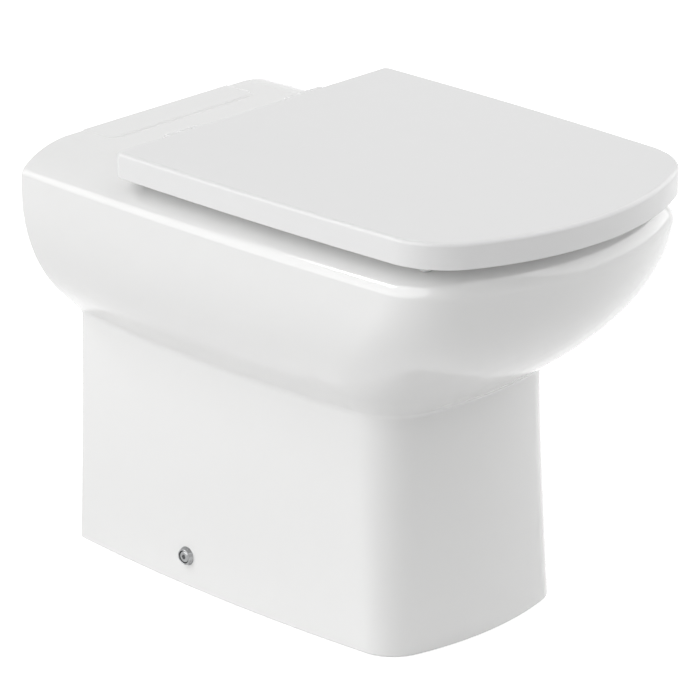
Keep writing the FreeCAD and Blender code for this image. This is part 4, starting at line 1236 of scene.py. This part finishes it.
class OBJECT_OT_toilet_buffers(bpy.types.Operator):
    """Sets four soft feet under the seat, shaped to the rim, and four under the lid"""

    bl_idname = "object.toilet_buffers"
    bl_label = "Buffers"

    def execute(self, context):
        seat = context.scene.toilet_seat
        pan = context.scene.toilet_pan
        rim = pan_outside(pan)
        surface = BVHTree.FromObject(rim, context.evaluated_depsgraph_get())
        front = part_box("front_right_lid_buffer")
        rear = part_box("rear_right_lid_buffer")
        radius = (front[1][0] - front[0][0]) / 2
        edge = seat.buffer_edge
        places = {
            "Front across": (front[0][0] + front[1][0]) / 2,
            "Front along": (front[0][1] + front[1][1]) / 2,
            "Rear across": (rear[0][0] + rear[1][0]) / 2,
            "Rear along": (rear[0][1] + rear[1][1]) / 2,
        }
        heights = {
            "seat": (pan.rim_height, seat.seat_bottom),
            "lid": (seat.seat_top + seat.rest_gap, seat.lid_ceiling),
        }
        for owner, (bottom, top) in heights.items():
            foot = [(BUFFER_DIMPLE, 0.0), (radius / 2, 0.0)]
            foot += [(radius - inset, z) for inset, z in rounded(edge, edge, edge, -90, 0, 6)]
            foot += [(radius, top - bottom), (BUFFER_DIMPLE, top - bottom)]
            piece = turned(f"{owner}_buffers", foot, segments=40)
            run_tree(piece, "four_feet", dict(places, Height=bottom), "buffer_plastic")
            if owner == "seat":
                self.shape_to_rim(piece.data, surface, bottom, top, seat.rest_gap)
            finish_piece(piece, owner, "buffer_plastic", [f"{corner}_{owner}_buffer" for corner in CORNERS])
        remove_piece(rim)
        return {"FINISHED"}

    def shape_to_rim(self, mesh, surface, bottom, top, gap):
        """Lets the feet down until their undersides follow the rim just below them."""
        for vertex in mesh.vertices:
            hit = surface.ray_cast(Vector((vertex.co.x, vertex.co.y, top)), Vector((0, 0, -1)))[0]
            if hit is None:
                raise RuntimeError("A seat buffer has no rim under it")
            share = (top - vertex.co.z) / (top - bottom)
            vertex.co.z = mix(top, hit.z + gap, share)


# Hinges


def tube_profile(outer, inner, bottom, top, edge):
    """Closed outline of a tube's wall with its outer edges broken."""
    return [
        (inner, bottom), (outer - edge, bottom), (outer, bottom + edge),
        (outer, top - edge), (outer - edge, top), (inner, top),
    ]


def bar_profile(radius, bottom, top, edge):
    return [(radius - edge, bottom), (radius, bottom + edge), (radius, top - edge), (radius - edge, top)]


def threaded_bar(name, radius, depth, pitch, bottom, top, slot):
    """A bar along Z on the origin with a helical ridge wound round its core, one pitch short of its ends."""
    piece = turned(name, bar_profile(radius - depth, bottom, top, depth / 2), segments=32)
    wound = top - bottom - 2 * pitch
    values = {
        "Radius": radius - depth,
        "Bottom": bottom + pitch,
        "Length": wound,
        "Turns": wound / pitch,
        "Ridge": depth,
    }
    run_tree(piece, "wound_thread", values, slot)
    return piece


class OBJECT_OT_toilet_hinges(bpy.types.Operator):
    """Makes the two hinges: brackets, pins and bushes, and the studs, sleeves, washers and nuts below"""

    bl_idname = "object.toilet_hinges"
    bl_label = "Hinges"

    def execute(self, context):
        hinges = context.scene.toilet_hinges
        at = (hinges.spacing / 2, WALL_Y - hinges.from_wall, 0.0)
        line = (0, at[1], hinges.height)
        bore = hinges.stud_radius + TIGHT_FIT
        self.brackets(hinges, at, line, bore)
        self.deck_fixings(hinges, context.scene.toilet_pan, at, bore)
        self.nuts(hinges, at, bore)
        self.pins(hinges, line)
        return {"FINISHED"}

    def brackets(self, hinges, at, line, bore):
        low = hinges.base_bottom
        top = low + hinges.base_thickness
        radius = hinges.base_radius
        base = [(radius - FINE_EDGE, low), (radius, low + FINE_EDGE)]
        base += [(radius - inset, z) for inset, z in rounded(BASE_EDGE, BASE_EDGE, top - BASE_EDGE, 0, 90, 7)]
        piece = turned("hinge_brackets", base, "Z", at, 72)
        half = hinges.post_width / 2
        eye = hinges.eye_radius
        foot = low + hinges.base_thickness / 2
        head = bend_points((at[1], hinges.height), eye, 0, 180, 25)
        profile = [(at[1] - eye, foot), (at[1] + eye, foot), *head]
        post = prism("hinge_post", profile, at[0] - half, at[0] + half, POST_EDGE)
        pin_hole = round_bar("pin_hole", hinges.pin_radius + TURNING_FIT, 0.0, BORE_REACH, "X", line)
        stud_hole = round_bar("stud_hole", bore, low - OVERRUN, low + hinges.stud_grip, "Z", at)
        carve(piece, ("UNION", post), ("DIFFERENCE", pin_hole), ("DIFFERENCE", stud_hole))
        finish_pair(piece, "pan", "seat_plastic", "hinge_bracket")

    def deck_fixings(self, hinges, pan, at, bore):
        """Pads on the deck, sleeves through it, washers under it and the studs that hold them."""
        deck = pan.rim_height - pan.deck_thickness
        tubes = {
            "hinge_pad": (hinges.base_radius, pan.rim_height, hinges.base_bottom, THIN_EDGE, "rubber"),
            "hinge_sleeve": (hinges.sleeve_radius, deck, pan.rim_height, SLEEVE_EDGE, "nylon"),
            "hinge_washer": (hinges.washer_radius, hinges.washer_bottom, deck, PLATE_EDGE, "nylon"),
        }
        for node, (radius, bottom, top, edge, slot) in tubes.items():
            piece = turned(f"{node}s", tube_profile(radius, bore, bottom, top, edge), "Z", at, closed=True)
            finish_pair(piece, "pan", slot, node)
        stud = threaded_bar(
            "hinge_studs", hinges.stud_radius, hinges.thread_depth, hinges.thread_pitch,
            hinges.stud_bottom, hinges.base_bottom + hinges.stud_grip, "steel",
        )
        stud.data.transform(Matrix.Translation(at))
        finish_pair(stud, "pan", "steel", "hinge_stud")

    def nuts(self, hinges, at, bore):
        top = hinges.washer_bottom
        bottom = top - hinges.nut_thickness
        corner = hinges.nut_flats / math.sqrt(3)
        flat = hinges.nut_flats / 2
        piece = round_bar("hinge_nuts", corner, bottom, top, "Z", at, 6)
        slope = (corner - flat) * NUT_SLOPE
        wide = corner + FINE_EDGE
        crown = [(flat, bottom), (wide, bottom + slope), (wide, top - slope), (flat, top)]
        hole = round_bar("nut_hole", bore, bottom - OVERRUN, top + OVERRUN, "Z", at)
        carve(piece, ("INTERSECT", turned("nut_crown", crown, "Z", at)), ("DIFFERENCE", hole))
        finish_pair(piece, "pan", "steel", "hinge_nut", NUT_SHARP)

    def pins(self, hinges, line):
        """The pins, and the bushes of the lid and the seat that turn on them."""
        lid_near, seat_near = knuckle_places(hinges)
        end = seat_near + hinges.knuckle_width
        pin = turned("hinge_pins", bar_profile(hinges.pin_radius, lid_near, end, PIN_EDGE), "X", line, 40)
        finish_pair(pin, "pan", "steel", "hinge_pin")
        inner = hinges.pin_radius + TURNING_FIT
        outer = inner + hinges.bush_wall
        for owner, near in (("lid", lid_near), ("seat", seat_near)):
            profile = tube_profile(outer, inner, near, near + hinges.knuckle_width, THIN_EDGE)
            bush = turned(f"{owner}_bushes", profile, "X", line, 40, closed=True)
            finish_pair(bush, owner, "nylon", f"{owner}_bush")


# Side fixings


def reach_across(node):
    """The least and the greatest x of a node."""
    low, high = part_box(node)
    return float(low[0]), float(high[0])


class OBJECT_OT_toilet_fixings(bpy.types.Operator):
    """Makes the side screws with their cups and sleeves, and the floor brackets that they hold"""

    bl_idname = "object.toilet_fixings"
    bl_label = "Side fixings"

    def execute(self, context):
        fixings = context.scene.toilet_fixings
        line = (0, WALL_Y - fixings.from_wall, fixings.height)
        bore = fixings.screw_radius + TIGHT_FIT
        low, rim = reach_across("right_screw_cup")
        face = rim - fixings.cup_depth
        self.cups(fixings, context.scene.toilet_pan, line, bore, low, face)
        self.screws(fixings, line, face + fixings.cup_wall)
        self.sleeves(fixings, line, bore)
        self.brackets(fixings, line, bore)
        return {"FINISHED"}

    def cups(self, fixings, pan, line, bore, low, face):
        """A turned cup whose skirt follows the pedestal and whose rim is rolled."""
        rim = face + fixings.cup_depth
        floor = face + fixings.cup_wall
        edge = SLEEVE_EDGE
        recess = fixings.head_radius + HEAD_ROOM
        outer = fixings.cup_radius
        lip = outer - fixings.cup_taper
        roll = (lip - recess) / 2
        profile = [(bore, low), (outer - edge, low), (outer, low + edge), (outer, face)]
        profile += bend_points(((recess + lip) / 2, rim - roll), roll, 20, 160, 9)
        profile += [(recess, floor + edge), (recess - edge, floor), (bore, floor)]
        piece = turned("screw_cups", profile, "X", line, 72, closed=True)
        carve(piece, ("DIFFERENCE", pan_outside(pan)))
        finish_pair(piece, "pan", "chrome", "screw_cup")

    def screws(self, fixings, line, seat):
        """A domed head with a six-sided socket on a threaded shank."""
        edge_top = seat + fixings.head_height
        crown = fixings.head_crown
        top = edge_top + crown
        radius = fixings.head_radius
        head = [(radius - FINE_EDGE, seat), (radius, seat + FINE_EDGE), (radius, edge_top)]
        for turn in np.radians(np.linspace(0, 90, 9)[1:]):
            head.append((radius - crown * HEAD_DOME * (1 - math.cos(turn)), edge_top + crown * math.sin(turn)))
        piece = turned("fixing_screws", head, "X", line, 64)
        bottom = top - fixings.socket_depth
        socket = round_bar("hex_socket", fixings.socket_radius, bottom, top + OVERRUN, "X", line, 6)
        carve(piece, ("DIFFERENCE", socket))
        shank = threaded_bar(
            "screw_shank", fixings.screw_radius, fixings.thread_depth, fixings.thread_pitch,
            reach_across("right_fixing_screw")[0], seat, "chrome",
        )
        shank.data.transform(Matrix.Translation(line) @ Matrix.Rotation(math.radians(90), 4, "Y"))
        join_pieces(piece, shank)
        finish_pair(piece, "pan", "chrome", "fixing_screw")

    def sleeves(self, fixings, line, bore):
        start, end = reach_across("right_screw_sleeve")
        profile = tube_profile(fixings.hole_radius - TIGHT_FIT, bore, start, end, SLEEVE_EDGE)
        piece = turned("screw_sleeves", profile, "X", line, 48, closed=True)
        finish_pair(piece, "pan", "nylon", "screw_sleeve")

    def brackets(self, fixings, line, bore):
        """A bent angle with rounded bends and corners, a screw hole and a floor hole."""
        thick = fixings.bracket_thickness
        out = reach_across("right_floor_bracket")[1]
        end = out - fixings.bracket_foot
        half = fixings.bracket_width / 2
        bend = thick * BEND_OUTSIDE
        inside = thick * BEND_INSIDE
        profile = [
            (end, 0.0),
            *bend_points((out - bend, bend), bend, -90, 0, 9),
            (out, fixings.bracket_height),
            (out - thick, fixings.bracket_height),
            *bend_points((out - thick - inside, thick + inside), inside, 0, -90, 7),
            (end, thick),
        ]
        piece = prism("floor_brackets", profile, -half, half, PLATE_EDGE)
        piece.data.transform(Matrix(((0, 1, 0, 0), (-1, 0, 0, line[1]), (0, 0, 1, 0), (0, 0, 0, 1))))
        screw_hole = round_bar("screw_hole", bore, end, BORE_REACH, "X", line)
        place = (out - (fixings.bracket_foot + thick) / 2, line[1], 0.0)
        floor_hole = round_bar("floor_hole", fixings.bracket_hole, -OVERRUN, 2 * thick, "Z", place)
        carve(piece, ("DIFFERENCE", screw_hole), ("DIFFERENCE", floor_hole))
        finish_pair(piece, "pan", "steel", "floor_bracket")


class OBJECT_OT_toilet_flush_seal(bpy.types.Operator):
    """Moulds the rubber seal in the flush horn, with beads on its flange"""

    bl_idname = "object.toilet_flush_seal"
    bl_label = "Flush seal"

    def execute(self, context):
        water = context.scene.toilet_water
        mouth = WALL_Y - water.inlet_from_wall
        deep = mouth - water.seal_length
        outer = water.inlet_bore - TIGHT_FIT
        inner = water.seal_bore
        flange = water.seal_flange_radius
        edge = 0.001
        bead = 0.0006
        margin = 0.003
        face = mouth + water.seal_flange - bead
        profile = [
            (inner, deep), (outer - edge, deep), (outer, deep + 2 * edge), (outer, mouth),
            (flange - PIN_EDGE, mouth), (flange, mouth + PIN_EDGE),
            (flange, face - bead), (flange - bead, face), (inner + edge, face), (inner, face - edge),
        ]
        piece = turned("flush_seal", profile, "Y", (0, 0, water.inlet_height), 96, closed=True)
        values = {
            "Count": water.seal_beads,
            "Inner radius": inner + margin,
            "Spacing": (flange - inner - 2 * margin) / max(water.seal_beads - 1, 1),
            "Bead radius": bead,
            "Along": face,
            "Height": water.inlet_height,
        }
        run_tree(piece, "ringed_beads", values, "rubber")
        finish_piece(piece, "pan", "rubber", ["flush_inlet_seal"])
        return {"FINISHED"}


# Studio

# Half the floor's width, how far it lies below the object, and its glow where it is seen
FLOOR_REACH = 12.0
FLOOR_DROP = 0.0004
FLOOR_GLOW = 0.55


class OBJECT_OT_toilet_stage(bpy.types.Operator):
    """Sets the pale floor, the soft studio light and the camera"""

    bl_idname = "object.toilet_stage"
    bl_label = "Studio"

    def execute(self, context):
        stage = context.scene.toilet_stage
        context.scene.view_settings.view_transform = "Standard"
        self.floor(context.scene.toilet_finishes)
        self.light(context.scene, stage)
        self.camera(context.scene, stage)
        return {"FINISHED"}

    def seen_rays(self, tree):
        """1 for rays from the camera, a reflection or glass, and 0 for light that falls on the object."""
        path = tree.nodes.new("ShaderNodeLightPath")
        total = path.outputs["Is Camera Ray"]
        for name in ("Is Glossy Ray", "Is Transmission Ray"):
            total = math_node(tree, "MAXIMUM", total, path.outputs[name])
        return total

    def floor(self, colours):
        plan = [(-FLOOR_REACH, -FLOOR_REACH), (FLOOR_REACH, -FLOOR_REACH)]
        plan += [(FLOOR_REACH, FLOOR_REACH), (-FLOOR_REACH, FLOOR_REACH)]
        mesh = bpy.data.meshes.new("studio_floor")
        mesh.from_pydata([(x, y, -FLOOR_DROP) for x, y in plan], [], [(0, 1, 2, 3)])
        floor = new_object("studio_floor", mesh)
        pale = bpy.data.materials.new("pale_floor")
        pale.use_nodes = True
        tree = pale.node_tree
        shader = tree.nodes["Principled BSDF"]
        shader.inputs["Base Color"].default_value = (*colours.floor, 1)
        shader.inputs["Roughness"].default_value = 0.9
        shader.inputs["Specular IOR Level"].default_value = 0.0
        shader.inputs["Emission Color"].default_value = (1, 1, 1, 1)
        glow = math_node(tree, "MULTIPLY", self.seen_rays(tree), FLOOR_GLOW)
        tree.links.new(glow, shader.inputs["Emission Strength"])
        mesh.materials.append(pale)

    def light(self, scene, stage):
        world = bpy.data.worlds.new("studio_world")
        world.use_nodes = True
        scene.world = world
        tree = world.node_tree
        background = tree.nodes["Background"]
        background.inputs["Color"].default_value = (1, 1, 1, 1)
        seen = self.seen_rays(tree)
        glow = add_node(tree, "ShaderNodeMapRange", Value=seen, To_Min=stage.ambient, To_Max=1.0)
        tree.links.new(glow.outputs["Result"], background.inputs["Strength"])
        lamps = {
            "left_softbox": (stage.key, 72, (0.79, -0.30, -0.53)),
            "right_softbox": (stage.fill, 80, (-0.82, 0.35, -0.45)),
            "front_softbox": (stage.top, 40, (-0.15, 0.60, -0.78)),
            "streak_lamp": (stage.streak, 7, (0.30, -0.58, -0.757)),
        }
        for name, (energy, spread, towards) in lamps.items():
            lamp = bpy.data.lights.new(name, "SUN")
            lamp.energy = energy
            lamp.angle = math.radians(spread)
            holder = bpy.data.objects.new(name, lamp)
            holder.rotation_euler = Vector(towards).to_track_quat("-Z", "Y").to_euler()
            scene.collection.objects.link(holder)

    def camera(self, scene, stage):
        aim = Vector((0.0, stage.aim_along, stage.aim_height))
        flat = math.cos(stage.elevation)
        away = Vector((
            math.sin(stage.azimuth) * flat,
            -math.cos(stage.azimuth) * flat,
            math.sin(stage.elevation),
        ))
        lens = bpy.data.cameras.new("photo_camera")
        lens.sensor_width = 36.0
        lens.lens = stage.focal_length
        lens.clip_end = 100.0
        camera = bpy.data.objects.new("photo_camera", lens)
        camera.location = aim + away * stage.distance
        camera.rotation_euler = (-away).to_track_quat("-Z", "Y").to_euler()
        scene.collection.objects.link(camera)
        scene.camera = camera


OPERATORS = (
    OBJECT_OT_toilet_pan,
    OBJECT_OT_toilet_lid,
    OBJECT_OT_toilet_seat_ring,
    OBJECT_OT_toilet_buffers,
    OBJECT_OT_toilet_hinges,
    OBJECT_OT_toilet_fixings,
    OBJECT_OT_toilet_flush_seal,
    OBJECT_OT_toilet_stage,
)


class VIEW3D_PT_toilet(bpy.types.Panel):
    """Lists the pieces and their sizes."""

    bl_idname = "VIEW3D_PT_toilet"
    bl_label = "Toilet"
    bl_space_type = "VIEW_3D"
    bl_region_type = "UI"
    bl_category = "Toilet"

    def draw(self, context):
        for operator in OPERATORS:
            self.layout.operator(operator.bl_idname)
        for name, group in SIZE_GROUPS.items():
            box = self.layout.box()
            box.label(text=group.__doc__)
            for field in group.__annotations__:
                box.prop(getattr(context.scene, name), field)


def register():
    for group in SIZE_GROUPS.values():
        bpy.utils.register_class(group)
    for name, group in SIZE_GROUPS.items():
        setattr(bpy.types.Scene, name, PointerProperty(type=group))
    for operator in OPERATORS:
        bpy.utils.register_class(operator)
    bpy.utils.register_class(VIEW3D_PT_toilet)


def unregister():
    bpy.utils.unregister_class(VIEW3D_PT_toilet)
    for operator in reversed(OPERATORS):
        bpy.utils.unregister_class(operator)
    for name in SIZE_GROUPS:
        delattr(bpy.types.Scene, name)
    for group in SIZE_GROUPS.values():
        bpy.utils.unregister_class(group)


def main():
    register()
    bpy.ops.object.toilet_pan()
    bpy.ops.object.toilet_lid()
    bpy.ops.object.toilet_seat_ring()
    bpy.ops.object.toilet_buffers()
    bpy.ops.object.toilet_hinges()
    bpy.ops.object.toilet_fixings()
    bpy.ops.object.toilet_flush_seal()
    bpy.ops.object.toilet_stage()


if __name__ == "__main__":
    main()
